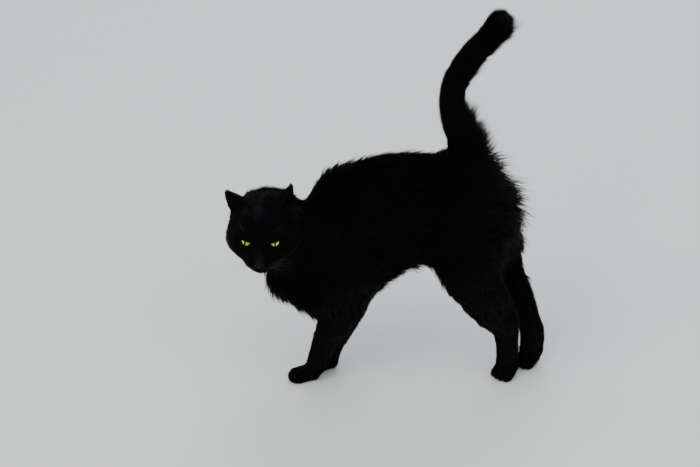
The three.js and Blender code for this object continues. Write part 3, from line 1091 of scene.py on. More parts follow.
    def trimmed(self, points: Rows, normals: Rows, wide: Rows) -> Rows:
        """How much deeper the skin lies where the coat is thick, and shallower where it is thin.

        Args:
            points: Places on the smoothed form.
            normals: Outward directions there.
            wide: Each vertex's share of the parts.

        Returns:
            Millimetres to add to the coat's own depth.
        """
        along = points[:, 0] / MM
        across = self.head.local(points)[:, 0]
        under = ramp(-normals[:, 2], 0.0, 0.6)
        over = ramp(normals[:, 2], 0.3, 0.75)
        forward = ramp(-normals[:, 0], 0.15, 0.65)
        flank = under * ramp(along, -50, -25) * ramp(along, 10, -6)
        withers = forward * ramp(normals[:, 2], 0.1, 0.5) * ramp(normals[:, 2], 0.8, 0.6)
        hock = ramp(normals[:, 0], 0.2, 0.7) * ramp(points[:, 2], 0.055, 0.085)
        crown = ramp(across, -2, 15) * 5.6 - 2.6 - 4.2 * bump(across + 3.0, 11.0)
        masks = {
            "flank": flank * self.part(wide, "chest", "belly"),
            "hump": over * bump(along + 52.0, 34.0) * self.part(wide, "chest"),
            "loin": over * bump(along - 50.0, 28.0),
            "bib": forward * under * self.part(wide, "chest", "neck"),
            "hock": hock * self.part(wide, "thigh_right", "shank_right"),
            "arch": under * bump(along - 20.0, 10.0) * self.part(wide, "belly"),
            "withers": withers * self.part(wide, "chest"),
            "shin": forward * self.part(wide, "arm_left", "forearm_left"),
            "crown": crown * over * self.part(wide, "head"),
        }
        return sum(TRIMS[name] * mask for name, mask in masks.items())

    def on_face(self, local: Rows, lie: Rows, length: Rows, lift: Rows) -> tuple[Rows, Rows, Rows]:
        """Shortens the coat and turns it away round lids and nose, and fills out the cheeks.

        Args:
            local: Places in the head's axes.
            lie: The way the coat lies.
            length: Its length.
            lift: Its lift.

        Returns:
            The new lie, length and lift.
        """
        shorter = 0.55
        for side in (-1, 1):
            out, up, gap, front = self.around_eye(local, side)
            past = np.maximum(-gap, 0.0)
            near = np.where(front, bump(past, 7.0), 0.0)
            away = np.outer(out * side, self.head.axes[0]) + np.outer(up, self.head.axes[2])
            lie = lie + 1.2 * near[:, None] * unit(away)
            length = length * (1.0 - shorter * np.where(front, bump(past, 4.0), 0.0))
        nose = np.linalg.norm(local - np.array(self.nose), axis=1)
        length = length * (1.0 - shorter * bump(nose, 11.0))
        reach = np.linalg.norm(local, axis=1)
        jaw = ramp(local[:, 2], -16.0, -30.0) * (reach < 60)
        lie = lie + jaw[:, None] * self.head.turned((0, 0.2, -0.6))
        cheek = ramp(np.abs(local[:, 0]), 22, 38) * ramp(local[:, 2], 12, -8) * (reach < 62)
        lie = lie + cheek[:, None] * self.head.turned((0, 0.2, -0.7))
        return lie, length + 3.0 * cheek, lift + 4.0 * cheek

    @staticmethod
    def frost(local: Rows) -> Rows:
        """Finds where a bluish sheen is painted into the coat: on the nose's bridge and the
        forehead.

        Args:
            local: Places in the head's axes.

        Returns:
            A mask from 0 to 1.
        """
        across, back, height = local.T
        # Painted sheen: a bluish lightening on the nose's bridge and high on the forehead.
        bridge = bump(across, 5.0) * bump(height + 10.0, 7.0) * (back < 2)
        brow = bump(across + 3.0, 6.5) * ramp(height, 24, 34) * ramp(back, 62, 48)
        return np.clip(bridge + 0.7 * brow, 0.0, 1.0)

    def around_eye(self, local: Rows, side: int) -> tuple[Rows, Rows, Rows, Rows]:
        """Measures places over one eyeball.

        Args:
            local: Places in the head's axes.
            side: 1 for the cat's left eye and -1 for its right.

        Returns:
            Distance outwards, distance upwards, depth inside the lids' opening, and
            whether the place is in front of the eyeball.
        """
        radius = self.head.eye_radius
        ray = local - self.head.eye(side)
        aim = unit(ray)
        forward, upward = self.opening.axes()
        ahead = aim @ forward
        out = np.arctan2(aim[:, 0] * side, ahead) * radius
        up = np.arcsin(np.clip(aim @ upward, -1, 1)) * radius
        front = (ahead > 0.05) & (np.linalg.norm(ray, axis=1) < 2.2 * radius)
        return out, up, self.opening.inside(out, up), front

    def features(self, points: Rows, growth: Masks) -> Rows:
        """Models the lids, the mouth and the nose's bed.

        Args:
            points: Places of the skin's vertices.
            growth: The coat's values; it is sown less inside the lids and the mouth.

        Returns:
            The new places.
        """
        local = self.head.local(points)
        for side in (-1, 1):
            local = self.lidded(local, side, growth)
        front = (local[:, 1] < -4) & (local[:, 2] < -8)
        across = np.abs(local[:, 0])
        lip = across + 3.0 * np.maximum(local[:, 2] + 22.0, 0.0)
        cleft = bump(lip, 0.8) * ramp(local[:, 2], -28.5, -26.0)
        mouth = -26.6 - 1.9 * np.sin(np.clip(across / 11.0, 0, 1) * math.pi) + 0.06 * across
        line = bump(local[:, 2] - mouth, 0.75) * ramp(across, 14.0, 11.0)
        groove = np.where(front, 1.9 * np.maximum(cleft, line), 0.0)
        local[:, 1] += groove
        close = np.linalg.norm((local - np.array(self.nose)) / np.array(self.bed), axis=1)
        bed = ramp(close, 1.05, 0.7)
        local[:, 1] += 1.6 * bed
        growth["sown"] = growth["sown"] * (1.0 - 0.6 * np.clip(groove, 0, 1)) * (1.0 - bed)
        return self.head.world(local)

    def lidded(self, local: Rows, side: int, growth: Masks) -> Rows:
        """Draws the skin over one eyeball and sinks it between the lids.

        Args:
            local: Places in the head's axes.
            side: 1 for the cat's left eye and -1 for its right.
            growth: The coat's values; it isn't sown between the lids.

        Returns:
            The new places.
        """
        lids, radius = self.opening, self.head.eye_radius
        centre = self.head.eye(side)
        _, _, gap, front = self.around_eye(local, side)
        past = np.maximum(-gap, 0.0)
        ray = local - centre
        reach = np.linalg.norm(ray, axis=1)
        lid = radius + lids.thickness + lids.slope * past
        outer = np.maximum(reach + (lid - reach) * bump(past, lids.reach), radius + 0.8)
        target = outer + (radius - lids.sunk - outer) * ramp(gap, -0.35, 0.35)
        growth["sown"] = growth["sown"] * np.where(front, ramp(gap, -0.5, -1.5), 1.0)
        return np.where(front[:, None], centre + unit(ray) * target[:, None], local)

    def toes(self, points: Rows, normals: Rows) -> Rows:
        """Presses three grooves between the four toes of each paw.

        Args:
            points: Places of the skin's vertices.
            normals: Outward directions there.

        Returns:
            The new places.
        """
        sunk = np.zeros(len(points))
        for paw in PAWS:
            ahead, across = toe_axes(paw)
            low, high = corner(paw, 0), corner(paw, 1)
            rel = points - (low + high) / 2.0
            inside = np.all((points > low - MM) & (points < high + MM), axis=1)
            forward, sideways = rel @ ahead / MM, rel @ across / MM
            for offset in (-self.groove, 0.0, self.groove):
                fan = offset * (1.0 + 0.012 * forward)
                line = bump(sideways - fan, 1.5) * ramp(forward, 1.0, 7.0)
                line = line * ramp(rel[:, 2], 0.011, 0.005)
                sunk = np.maximum(sunk, np.where(inside, line, 0.0))
        return points - normals * (self.groove_depth * MM * sunk)[:, None]


# ---------------------------------------------------------------- coat


@dataclass
class TuftTree:
    """The node tree that sows tufts over the skin and lays them down.

    Lengths and tilts are the ends of each tuft's chance, as shares of its part's
    length and lift. Patches and swirls are how finely over the body, and how much,
    lengths and aims vary. Shortest is the least share of a length, flatness how thick
    a tuft is against its girth, outwards the least that it leaves the skin, swell how
    it widens in its middle, and clearance how far it stays off the floor in metres.
    """

    lengths: tuple[float, float] = (0.72, 1.12)
    patches: tuple[float, float] = (120.0, 3.2)
    shortest: float = 0.35
    tilts: tuple[float, float] = (0.5, 1.2)
    swirls: tuple[float, float] = (26.0, 0.55)
    outwards: float = 0.07
    flatness: float = 0.55
    swell: float = 2.8
    clearance: float = 0.0002
    w: Wiring = field(init=False)
    given: Outputs = field(init=False)

    def build(self) -> Tree:
        """Builds the tree.

        Returns:
            The tree.
        """
        feeds = {
            "Skin": ("Geometry", None),
            "Sowing": ("String", "sown"),
            "Density": ("Float", 100.0),
            "Seed": ("Int", 1),
            "Rings": ("Int", 2),
            "Arch": ("Float", 0.10),
            "Clump": ("Float", 0.4),
            "Clumps per m2": ("Float", 16000.0),
            "Stray": ("Float", 0.12),
            "Patch": ("Float", 0.003),
            "Finish": ("Material", None),
        }
        w = self.w = new_tree("tufts", "GeometryNodeTree", feeds, {"Coat": "Geometry"})
        given = self.given = w.node("NodeGroupInput").outputs
        dense = w.math("MULTIPLY", w.read(given["Sowing"]), given["Density"])
        feeds = {"Mesh": given["Skin"], "Density": dense, "Seed": given["Seed"]}
        spread = w.node("GeometryNodeDistributePointsOnFaces", feeds).outputs
        normal = spread["Normal"]
        root = w.read("OFBake", "FLOAT_VECTOR")
        points = w.keep(spread["Points"], "root", "FLOAT_VECTOR", root)
        length = self.length()
        aim = self.aim(normal, length)
        points = w.keep(points, "arching", "FLOAT_VECTOR", w.scaled(normal, length))
        girth = w.read("girth")
        size = w.joined(w.math("MULTIPLY", girth, self.flatness), girth, length)
        tufts = w.planted(points, self.lock(), (aim, normal), size)
        tufts = w.moved(tufts, "Offset", self.arching())
        off_floor = w.vector("MAXIMUM", w.here(), (-9.0, -9.0, self.clearance))
        tufts = w.moved(tufts, "Position", off_floor)
        w.finished(self.mapped(tufts), given["Finish"], "Coat")
        return w.tree

    def length(self) -> Socket:
        """Makes the tufts' lengths uneven, most where the coat is ragged.

        Returns:
            Each tuft's length.
        """
        w, (fineness, amount) = self.w, self.patches
        patchy = w.math("SUBTRACT", w.noise(w.here(), fineness, 1.0)[0], 0.5)
        uneven = w.math("MULTIPLY", w.math("MULTIPLY", patchy, amount), w.read("ragged"))
        uneven = w.math("MAXIMUM", w.math("ADD", 1.0, uneven), self.shortest)
        chance = w.math("MULTIPLY", w.chance(*self.lengths, 3), uneven)
        return w.math("MULTIPLY", w.read("coat_length"), chance)

    def aim(self, normal: object, length: object) -> Socket:
        """Points each tuft along the coat, lifted, astray and drawn to its clump.

        Args:
            normal: The skin's outward direction.
            length: The tuft's length.

        Returns:
            Its direction, which never goes into the skin.
        """
        w, (fineness, amount) = self.w, self.swirls
        angle = w.math("MULTIPLY", w.read("lift"), w.chance(*self.tilts, 4))
        flat = w.scaled(w.read("lie", "FLOAT_VECTOR"), w.math("COSINE", angle))
        raised = w.scaled(normal, w.math("SINE", angle))
        feeds = {0: (-1, -1, -1), 1: (1, 1, 1), "Seed": 5}
        scatter = w.node("FunctionNodeRandomValue", feeds, data_type="FLOAT_VECTOR").outputs[0]
        stray = w.scaled(scatter, self.given["Stray"])
        swirl = w.vector("SUBTRACT", w.noise(w.here(), fineness, 1.0)["Color"], (0.5, 0.5, 0.5))
        astray = w.vector("ADD", stray, w.scaled(swirl, amount))
        aim = w.vector("ADD", w.vector("ADD", flat, raised), astray)
        reach = w.scaled(w.vector("NORMALIZE", aim), length)
        pull = w.scaled(self.to_clump(), self.given["Clump"])
        aim = w.vector("NORMALIZE", w.vector("ADD", reach, pull))
        above = w.vector("DOT_PRODUCT", aim, normal)
        lowest = w.math("MAXIMUM", w.math("SUBTRACT", self.outwards, above), 0.0)
        return w.vector("NORMALIZE", w.vector("ADD", aim, w.scaled(normal, lowest)))

    def to_clump(self) -> Socket:
        """Finds the way from each root to the middle of its lock of tufts.

        Returns:
            The way there, with its length.
        """
        w, given, place = self.w, self.given, self.w.here()
        feeds = {"Mesh": given["Skin"], "Density": given["Clumps per m2"], "Seed": 77}
        centres = w.node("GeometryNodeDistributePointsOnFaces", feeds).outputs["Points"]
        near = w.node("GeometryNodeSampleNearest", {"Geometry": centres, "Sample Position": place})
        feeds = {"Geometry": centres, "Value": place, "Index": near.outputs[0]}
        found = w.node("GeometryNodeSampleIndex", feeds, data_type="FLOAT_VECTOR").outputs[0]
        return w.vector("SUBTRACT", found, place)

    def lock(self) -> Socket:
        """Makes one three-sided tuft of unit length that swells before it tapers.

        Returns:
            The tuft.
        """
        w = self.w
        shaft, (x, y, z) = w.shaft(3, self.given["Rings"])
        spot_u = w.math("ADD", x, w.math("MULTIPLY", y, 0.3))
        spot_v = w.math("ADD", z, w.math("MULTIPLY", y, 0.25))
        shaft = w.keep(shaft, "strand", "FLOAT_VECTOR", w.joined(spot_u, spot_v))
        belly = w.math("MULTIPLY", z, w.math("SUBTRACT", 1.0, z))
        wide = w.math("ADD", 1.0, w.math("MULTIPLY", belly, self.swell))
        swollen = w.vector("MULTIPLY", w.here(), w.joined(wide, wide, 1.0))
        return w.moved(shaft, "Position", swollen)

    def arching(self) -> Socket:
        """Bows each tuft away from the skin, most in its middle.

        Returns:
            How far each point moves.
        """
        w = self.w
        along = w.read("along")
        bow = w.math("MULTIPLY", along, w.math("SUBTRACT", 1.0, along))
        bow = w.math("MULTIPLY", w.math("MULTIPLY", bow, 4.0), self.given["Arch"])
        return w.scaled(w.read("arching", "FLOAT_VECTOR"), bow)

    def mapped(self, tufts: object) -> Socket:
        """Gives each tuft its small patch on the skin's map and drops working values.

        Args:
            tufts: The tufts.

        Returns:
            The tufts with their map.
        """
        w = self.w
        spot = w.vector("SUBTRACT", w.read("strand", "FLOAT_VECTOR"), (0.0, 0.5, 0.0))
        patch = w.scaled(spot, self.given["Patch"])
        where = w.vector("ADD", w.read("root", "FLOAT_VECTOR"), patch)
        tufts = w.keep(tufts, "OFBake", "FLOAT2", where, "CORNER")
        names = ["root", "arching", "lie", "coat_length", "lift", "girth", "sown", "ragged"]
        for name in names + [plot.name for plot in PLOTS]:
            feeds = {"Geometry": tufts, "Name": name}
            tufts = w.node("GeometryNodeRemoveAttribute", feeds).outputs[0]
        return tufts


@dataclass
class Coat:
    """The coat, one piece for each plot."""

    skin: Mesh
    tree: Tree
    finish: Finish

    def grow(self, plot: Plot) -> Piece:
        """Grows one piece of the coat.

        Args:
            plot: Which stretch, with its number of tufts.

        Returns:
            The piece.
        """
        share = 1.0
        values = {
            "Sowing": plot.name,
            "Density": plot.tufts * share / self.sown_area(plot.name),
            "Seed": plot.seed,
            "Rings": plot.weave.value,
            "Clump": plot.clump,
            "Finish": self.finish,
        }
        return grown(plot.name, self.skin, self.tree, values)

    def sown_area(self, name: str) -> float:
        """Measures the skin, each face counted by how thickly it is sown for a piece.

        Args:
            name: The piece's name, which is the name of its sowing too.

        Returns:
            The area in square metres.
        """
        mesh = self.skin
        mesh.calc_loop_triangles()
        corners = np.empty(len(mesh.loop_triangles) * 3, np.int32)
        mesh.loop_triangles.foreach_get("vertices", corners)
        corners = corners.reshape(-1, 3)
        spots = places(mesh)[corners]
        sides = np.cross(spots[:, 1] - spots[:, 0], spots[:, 2] - spots[:, 0])
        sown = np.empty(len(mesh.vertices), np.float32)
        mesh.attributes[name].data.foreach_get("value", sown)
        return float(np.sum(np.linalg.norm(sides, axis=1) / 2 * sown[corners].mean(axis=1)))


# ---------------------------------------------------------------- finishes


@dataclass(frozen=True)
class CoatTones:
    """The black coat's tones, shared by the skin and the tufts."""

    deep: Colour = (0.0009, 0.0009, 0.0012, 1.0)
    worn: Colour = (0.0026, 0.0026, 0.0034, 1.0)
    rust: Colour = (0.014, 0.0088, 0.0055, 1.0)
    # The last tone is a painted bluish sheen for the nose's bridge and the forehead.
    frost: Colour = (0.015, 0.0165, 0.021, 1.0)

    def build(self) -> Tree:
        """Builds the group that gives colour and roughness over the body, with a painted bluish
        sheen on the nose's bridge and the forehead.

        Returns:
            The group.
        """
        feeds = {"Place": ("Vector", None)}
        # The last input is the mask of the painted bluish sheen.
        feeds |= {name: ("Float", 0.0) for name in ("Tip", "Rust", "Frost")}
        gives = {"Colour": "Color", "Roughness": "Float"}
        w = new_tree("coat_tones", "ShaderNodeTree", feeds, gives)
        given = w.node("NodeGroupInput").outputs
        broad = w.noise(given["Place"], 14.0, 3.0)[0]
        fine = w.noise(given["Place"], 420.0)[0]
        mask = w.math("MULTIPLY", w.eased(broad, 0.38, 0.68), 0.55)
        mask = w.math("ADD", mask, w.math("MULTIPLY", w.eased(fine, 0.4, 0.75), 0.35))
        mask = w.math("ADD", mask, w.math("MULTIPLY", given["Tip"], 0.25))
        colour = w.mixed(mask, self.deep, self.worn)
        tinge = w.math("MULTIPLY", given["Rust"], w.eased(fine, 0.3, 0.6, (0.25, 0.85)))
        tinge = w.math("ADD", tinge, w.math("MULTIPLY", w.eased(broad, 0.5, 0.75), 0.10))
        colour = w.mixed(tinge, colour, self.rust)
        # Paints a bluish sheen over the nose's bridge and the forehead.
        pale = w.math("MULTIPLY", given["Frost"], w.eased(fine, 0.3, 0.65, (0.35, 0.95)))
        colour = w.mixed(pale, colour, self.frost)
        rough = w.math("ADD", 0.46, w.math("MULTIPLY", fine, 0.22))
        w.node("NodeGroupOutput", {"Colour": colour, "Roughness": rough})
        return w.tree


class Paint(Wiring):
    """A material that is being wired, with its main shader."""

    def __init__(self, name: str) -> None:
        """Starts the material with its shader and its output.

        Args:
            name: The material's name.
        """
        self.material = bpy.data.materials.new(name)
        self.material.use_nodes = True
        super().__init__(self.material.node_tree)
        self.tree.nodes.clear()
        self.shader = self.node("ShaderNodeBsdfPrincipled")
        self.node("ShaderNodeOutputMaterial", {"Surface": self.shader.outputs[0]})

    def place(self) -> Socket:
        """Returns the place on the piece."""
        return self.node("ShaderNodeTexCoord").outputs["Object"]

    def toned(self, tones: Tree, place: object, **more: object) -> dict:
        """Adds the coat's tones.

        Args:
            tones: The group that gives them.
            place: The place on the piece.
            more: The group's other inputs.

        Returns:
            What feeds the shader's colour and roughness.
        """
        # The last attribute is the mask of a painted bluish sheen on the nose's bridge and
        # forehead.
        feeds = {"Place": place, "Rust": self.painted("rust"), "Frost": self.painted("frost")}
        given = self.node("ShaderNodeGroup", feeds | more, node_tree=tones).outputs
        return {"Base Color": given["Colour"], "Roughness": given["Roughness"]}

    def done(self, feeds: dict[str, object]) -> Finish:
        """Feeds the shader's own sockets.

        Args:
            feeds: Socket name, to a value or to an output that feeds it.

        Returns:
            The material.
        """
        self.feed(self.shader, feeds)
        return self.material


@dataclass(frozen=True)
class CoatFinish:
    """Glossy black hair for the tufts."""

    tones: Tree
    specular: float = 0.06
    sheen: float = 0.01
    sheen_roughness: float = 0.4
    sheen_tint: Colour = (0.75, 0.82, 1.0, 1.0)

    def build(self) -> Finish:
        """Builds the material.

        Returns:
            The material.
        """
        w = Paint("black_hair")
        feeds = w.toned(self.tones, w.place(), Tip=w.painted("along"))
        stretched = w.vector("MULTIPLY", w.painted("strand", "Vector"), (9.0, 0.8, 1.0))
        feeds["Normal"] = w.relief(w.noise(stretched, 3.0)[0], 0.35, 0.0003)
        feeds["Specular IOR Level"] = self.specular
        feeds["Sheen Weight"] = self.sheen
        feeds["Sheen Roughness"] = self.sheen_roughness
        feeds["Sheen Tint"] = self.sheen_tint
        return w.done(feeds)


@dataclass(frozen=True)
class SkinFinish:
    """Dark skin with the coat's own tones and the grain of short hair."""

    tones: Tree
    specular: float = 0.05

    def build(self) -> Finish:
        """Builds the material.

        Returns:
            The material.
        """
        w = Paint("dark_skin")
        place = w.place()
        feeds = w.toned(self.tones, place)
        feeds["Normal"] = w.relief(w.noise(place, 900.0, 3.0)[0], 0.5, 0.0006)
        feeds["Specular IOR Level"] = self.specular
        return w.done(feeds)


@dataclass(frozen=True)
class LeatherFinish:
    """Pebbled dark leather for the nose and the pads."""

    deep: Colour = (0.0020, 0.0018, 0.0019, 1.0)
    worn: Colour = (0.0036, 0.0032, 0.0034, 1.0)
    specular: float = 0.1

    def build(self) -> Finish:
        """Builds the material.

        Returns:
            The material.
        """
        w = Paint("nose_leather")
        place = w.place()
        pebbles = w.node("ShaderNodeTexVoronoi", {"Vector": place, "Scale": 1500.0}).outputs[0]
        damp = w.noise(place, 260.0, 3.0)[0]
        feeds = {
            "Base Color": w.mixed(w.eased(damp, 0.35, 0.7), self.deep, self.worn),
            "Roughness": w.eased(damp, 0.3, 0.7, (0.42, 0.6)),
            "Normal": w.relief(w.math("SUBTRACT", 1.0, pebbles), 0.6, 0.0002),
            "Specular IOR Level": self.specular,
        }
        return w.done(feeds)


@dataclass(frozen=True)
class EyeFinish:
    """A wet eye: yellow-green iris with fibres, a slit pupil and a dark rim.

    Iris, slit and slit height are half measures in millimetres.
    """

    outer: Colour = (0.32, 0.42, 0.014, 1.0)
    inner: Colour = (0.68, 0.80, 0.05, 1.0)
    rim: Colour = (0.012, 0.011, 0.008, 1.0)
    pupil: Colour = (0.002, 0.002, 0.003, 1.0)
    iris: float = 7.9
    slit: float = 1.25
    slit_height: float = 5.6
    cornea: float = 0.4
    cornea_roughness: float = 0.03
    specular: float = 0.1

    def build(self) -> Finish:
        """Builds the material, which reads each eye's own gaze coordinates in millimetres.

        Returns:
            The material.
        """
        w = Paint("wet_eye")
        gaze = w.painted("gaze", "Vector")
        x, y, _ = w.node("ShaderNodeSeparateXYZ", {0: gaze}).outputs
        flat = w.joined(x, y)
        radius = w.vector("LENGTH", flat)
        spoke = w.scaled(w.vector("NORMALIZE", flat), 7.0)
        spoke = w.vector("ADD", spoke, w.joined(z=w.math("MULTIPLY", radius, 0.08)))
        feeds = {"Vector": spoke, "Scale": 2.2, "Detail": 4.0, "Roughness": 0.65}
        fibres = w.node("ShaderNodeTexNoise", feeds).outputs[0]
        blend = w.math("ADD", w.eased(radius, 6.6, 1.2), w.eased(fibres, 0.3, 0.8, (-0.3, 0.3)))
        blend = w.math("MINIMUM", w.math("MAXIMUM", blend, 0.0), 1.0)
        colour = w.mixed(blend, self.outer, self.inner)
        edge = w.math("ADD", radius, w.math("MULTIPLY", fibres, 0.5))
        colour = w.mixed(w.eased(edge, self.iris - 0.5, self.iris + 0.5), colour, self.rim)
        tall = w.math("DIVIDE", y, self.slit_height)
        narrow = w.math("SUBTRACT", 1.0, w.math("MULTIPLY", tall, tall))
        width = w.math("MULTIPLY", w.math("MAXIMUM", narrow, 0.0), self.slit)
        gap = w.math("SUBTRACT", w.math("ABSOLUTE", x), width)
        wet = w.noise(gaze, 0.6, 1.0)[0]
        feeds = {
            "Base Color": w.mixed(w.eased(gap, 0.22, -0.12), colour, self.pupil),
            "Roughness": w.eased(wet, 0.3, 0.7, (0.16, 0.26)),
            "Coat Weight": self.cornea,
            "Coat Roughness": self.cornea_roughness,
            "Specular IOR Level": self.specular,
        }
        return w.done(feeds)


@dataclass(frozen=True)
class WhiskerFinish:
    """Pale stiff whiskers, darker at the root."""

    root: Colour = (0.01, 0.01, 0.011, 1.0)
    shaft: Colour = (0.045, 0.045, 0.05, 1.0)

    def build(self) -> Finish:
        """Builds the material.

        Returns:
            The material.
        """
        w = Paint("whisker_hair")
        grain = w.noise(w.place(), 300.0)[0]
        mask = w.eased(w.painted("along"), 0.0, 0.3)
        mask = w.math("MAXIMUM", w.math("ADD", mask, w.eased(grain, 0.3, 0.7, (-0.2, 0.0))), 0.0)
        colour = w.mixed(mask, self.root, self.shaft)
        return w.done({"Base Color": colour, "Roughness": w.eased(grain, 0.3, 0.7, (0.28, 0.4))})


@dataclass(frozen=True)
class FloorFinish:
    """A plain pale studio floor."""

    pale: Colour = (0.93, 0.93, 0.915, 1.0)
    paler: Colour = (0.95, 0.95, 0.935, 1.0)

    def build(self) -> Finish:
        """Builds the material.

        Returns:
            The material.
        """
        w = Paint("studio_floor")
        cloud = w.noise(w.place(), 3.0, 3.0)[0]
        colour = w.mixed(cloud, self.pale, self.paler)
        return w.done({"Base Color": colour, "Roughness": w.eased(cloud, 0.3, 0.7, (0.75, 0.85))})


# ---------------------------------------------------------------- eyes, nose, whiskers, pads


@dataclass
class Eye:
    """An eyeball with a bulging cornea that looks between the lids.

    Side is 1 for the cat's left and -1 for its right. Glance, lifted and tilt turn
    the gaze sideways, up and about itself, in degrees.
    """

    head: HeadFrame
    side: int
    glance: float
    lifted: float
    tilt: float
    segments: int = 48
    rings: int = 28
    bulge: float = 0.9
    cornea: float = 7.4

    @property
    def node(self) -> str:
        """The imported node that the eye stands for."""
        return "eye_left" if self.side > 0 else "eye_right"

    def build(self, finish: Finish) -> Piece:
        """Makes the eye.

        Args:
            finish: The wet eye material.

        Returns:
            The piece.
        """
        radius = self.head.eye_radius
        ball = bmesh.new()
        sizes = {"u_segments": self.segments, "v_segments": self.rings}
        bmesh.ops.create_uvsphere(ball, radius=1.0, **sizes)
        mesh = raw(f"{self.node}_wet", ball)
        spots = places(mesh)
        seen = np.hypot(spots[:, 0], spots[:, 1]) * radius
        swell = self.bulge * np.where(spots[:, 2] > 0, ramp(seen, self.cornea, 0.0), 0.0)
        turned = spots * (radius + swell)[:, None] @ self.gaze()
        put_places(mesh, self.head.world(turned + self.head.eye(self.side)))
        store(mesh, "gaze", spots * radius)
        return dressed(f"{self.node}_wet", mesh, finish)

    def gaze(self) -> Rows:
        """Finds where the eye looks.

        Returns:
            The directions across, up and ahead of its gaze, in the head's axes.
        """
        turn, rise, lean = np.radians([self.glance, self.lifted, self.tilt])
        level = math.cos(rise)
        ahead = np.array([math.sin(turn) * level, -math.cos(turn) * level, math.sin(rise)])
        across = unit(np.cross(np.array([0.0, 0.0, 1.0]), -ahead))
        upward = np.cross(-ahead, across)
        leant = across * math.cos(lean) + upward * math.sin(lean)
        raised = upward * math.cos(lean) - across * math.sin(lean)
        return np.stack([leant, raised, ahead])


@dataclass
class Nose:
    """The nose leather with its two nostrils and the cleft below."""

    head: HeadFrame
    centre: Triple = (0.0, -19.6, -18.2)
    half: Triple = (6.4, 4.8, 4.5)
    nostril: Triple = (3.1, -3.0, -0.8)
    wing: Triple = (4.4, -2.0, -0.3)

    def build(self, finish: Finish) -> Piece:
        """Makes the nose.

        Args:
            finish: The leather.

        Returns:
            The piece.
        """
        ball = bmesh.new()
        bmesh.ops.create_icosphere(ball, subdivisions=5, radius=1.0)
        mesh = raw("nose_leather", ball)
        spots = places(mesh)
        shaped = spots * np.array(self.half)
        shaped[:, 0] *= 1.0 - 0.34 * ramp(-spots[:, 2], -0.2, 1.0)
        shaped[:, 2] += 0.9 * bump(shaped[:, 0], 2.4) * (spots[:, 2] > 0) * spots[:, 2]
        for side in (-1, 1):
            flip = (side, 1, 1)
            hole = (shaped - np.array(self.nostril) * flip) / (1.5, 3.0, 1.2)
            wing = (shaped - np.array(self.wing) * flip) / (1.5, 3.0, 2.0)
            shaped[:, 1] += 2.0 * bump(np.hypot(hole[:, 0], hole[:, 2]), 0.8) * (spots[:, 1] < 0)
            shaped[:, 0] += side * 0.5 * bump(np.linalg.norm(wing, axis=1), 0.9)
        shaped[:, 1] += 0.9 * bump(shaped[:, 0], 0.7) * ramp(-shaped[:, 2], 0.0, 2.0)
        put_places(mesh, self.head.world(shaped + np.array(self.centre)))
        return dressed("nose_leather", mesh, finish)


@dataclass(frozen=True)
class WhiskerRow:
    """A row of whiskers that leave one spot of the face."""

    at: Triple
    step: Triple
    count: int
    aim: Triple
    length: float


@dataclass
class Whiskers:
    """The whiskers of the lips and the brows.

    Fan is how much the aim turns from one whisker to the next, and shorter by what
    share each falls behind the first in length.
    """

    head: HeadFrame
    rows: tuple[WhiskerRow, ...] = (
        WhiskerRow((9.0, -17.5, -17.0), (2.6, 1.6, 0.0), 4, (1.0, -0.05, -0.10), 36.0),
        WhiskerRow((8.6, -18.0, -19.6), (2.6, 1.6, -0.2), 4, (1.0, -0.05, -0.35), 38.0),
        WhiskerRow((8.0, -17.6, -22.0), (2.6, 1.6, -0.2), 3, (0.9, -0.02, -0.65), 32.0),
        WhiskerRow((17.0, 0.5, 11.5), (2.2, 0.8, 0.8), 3, (0.35, -0.15, 1.0), 24.0),
    )
    fan: Triple = (0.0, 0.16, 0.05)
    shorter: float = 0.07
    girth: float = 0.24
    rings: int = 9
    bow: float = 0.16

    def build(self, finish: Finish) -> Piece:
        """Makes every whisker as a tapered, bowed shaft.

        Args:
            finish: The whisker material.

        Returns:
            The piece.
        """
        spots: list[Rows] = []
        aims: list[Rows] = []
        sizes: list[float] = []
        for row in self.rows:
            for side in (-1, 1):
                flip = np.array([side, 1, 1])
                for k in range(row.count):
                    spots.append((np.array(row.at) + np.array(row.step) * k) * flip)
                    aim = np.array(row.aim) + np.array(self.fan) * k
                    aims.append(self.head.turned(unit(aim * flip)))
                    sizes.append(row.length * (1.0 - self.shorter * k) * MM)
        mesh = bpy.data.meshes.new("whisker_roots")
        mesh.from_pydata(self.head.world(np.array(spots)).tolist(), [], [])
        store(mesh, "aim", np.array(aims))
        store(mesh, "reach", np.array(sizes))
        values = {"Girth": self.girth * MM, "Rings": self.rings, "Bow": self.bow}
        return grown("whiskers", mesh, self.tree(), values | {"Finish": finish})

    @staticmethod
    def tree() -> Tree:
        """Builds the node tree that sets a shaft on each root.

        Returns:
            The tree.
        """
        feeds = {
            "Roots": ("Geometry", None),
            "Girth": ("Float", None),
            "Rings": ("Int", None),
            "Bow": ("Float", None),
            "Finish": ("Material", None),
        }
        w = new_tree("whisker_shafts", "GeometryNodeTree", feeds, {"Whiskers": "Geometry"})
        given = w.node("NodeGroupInput").outputs
        points = w.node("GeometryNodeMeshToPoints", {"Mesh": given["Roots"]}).outputs[0]
        shaft, _ = w.shaft(5, given["Rings"])
        size = w.joined(given["Girth"], given["Girth"], w.read("reach"))
        aims = (w.read("aim", "FLOAT_VECTOR"), (0.0, 0.0, 1.0))
        shafts = w.planted(points, shaft, aims, size)
        along = w.read("along")
        sag = w.math("MULTIPLY", w.math("MULTIPLY", along, along), given["Bow"])
        sag = w.math("MULTIPLY", sag, w.read("reach"))
        shafts = w.moved(shafts, "Offset", w.scaled((0.0, 0.75, -1.0), sag))
        w.finished(shafts, given["Finish"], "Whiskers")
        return w.tree


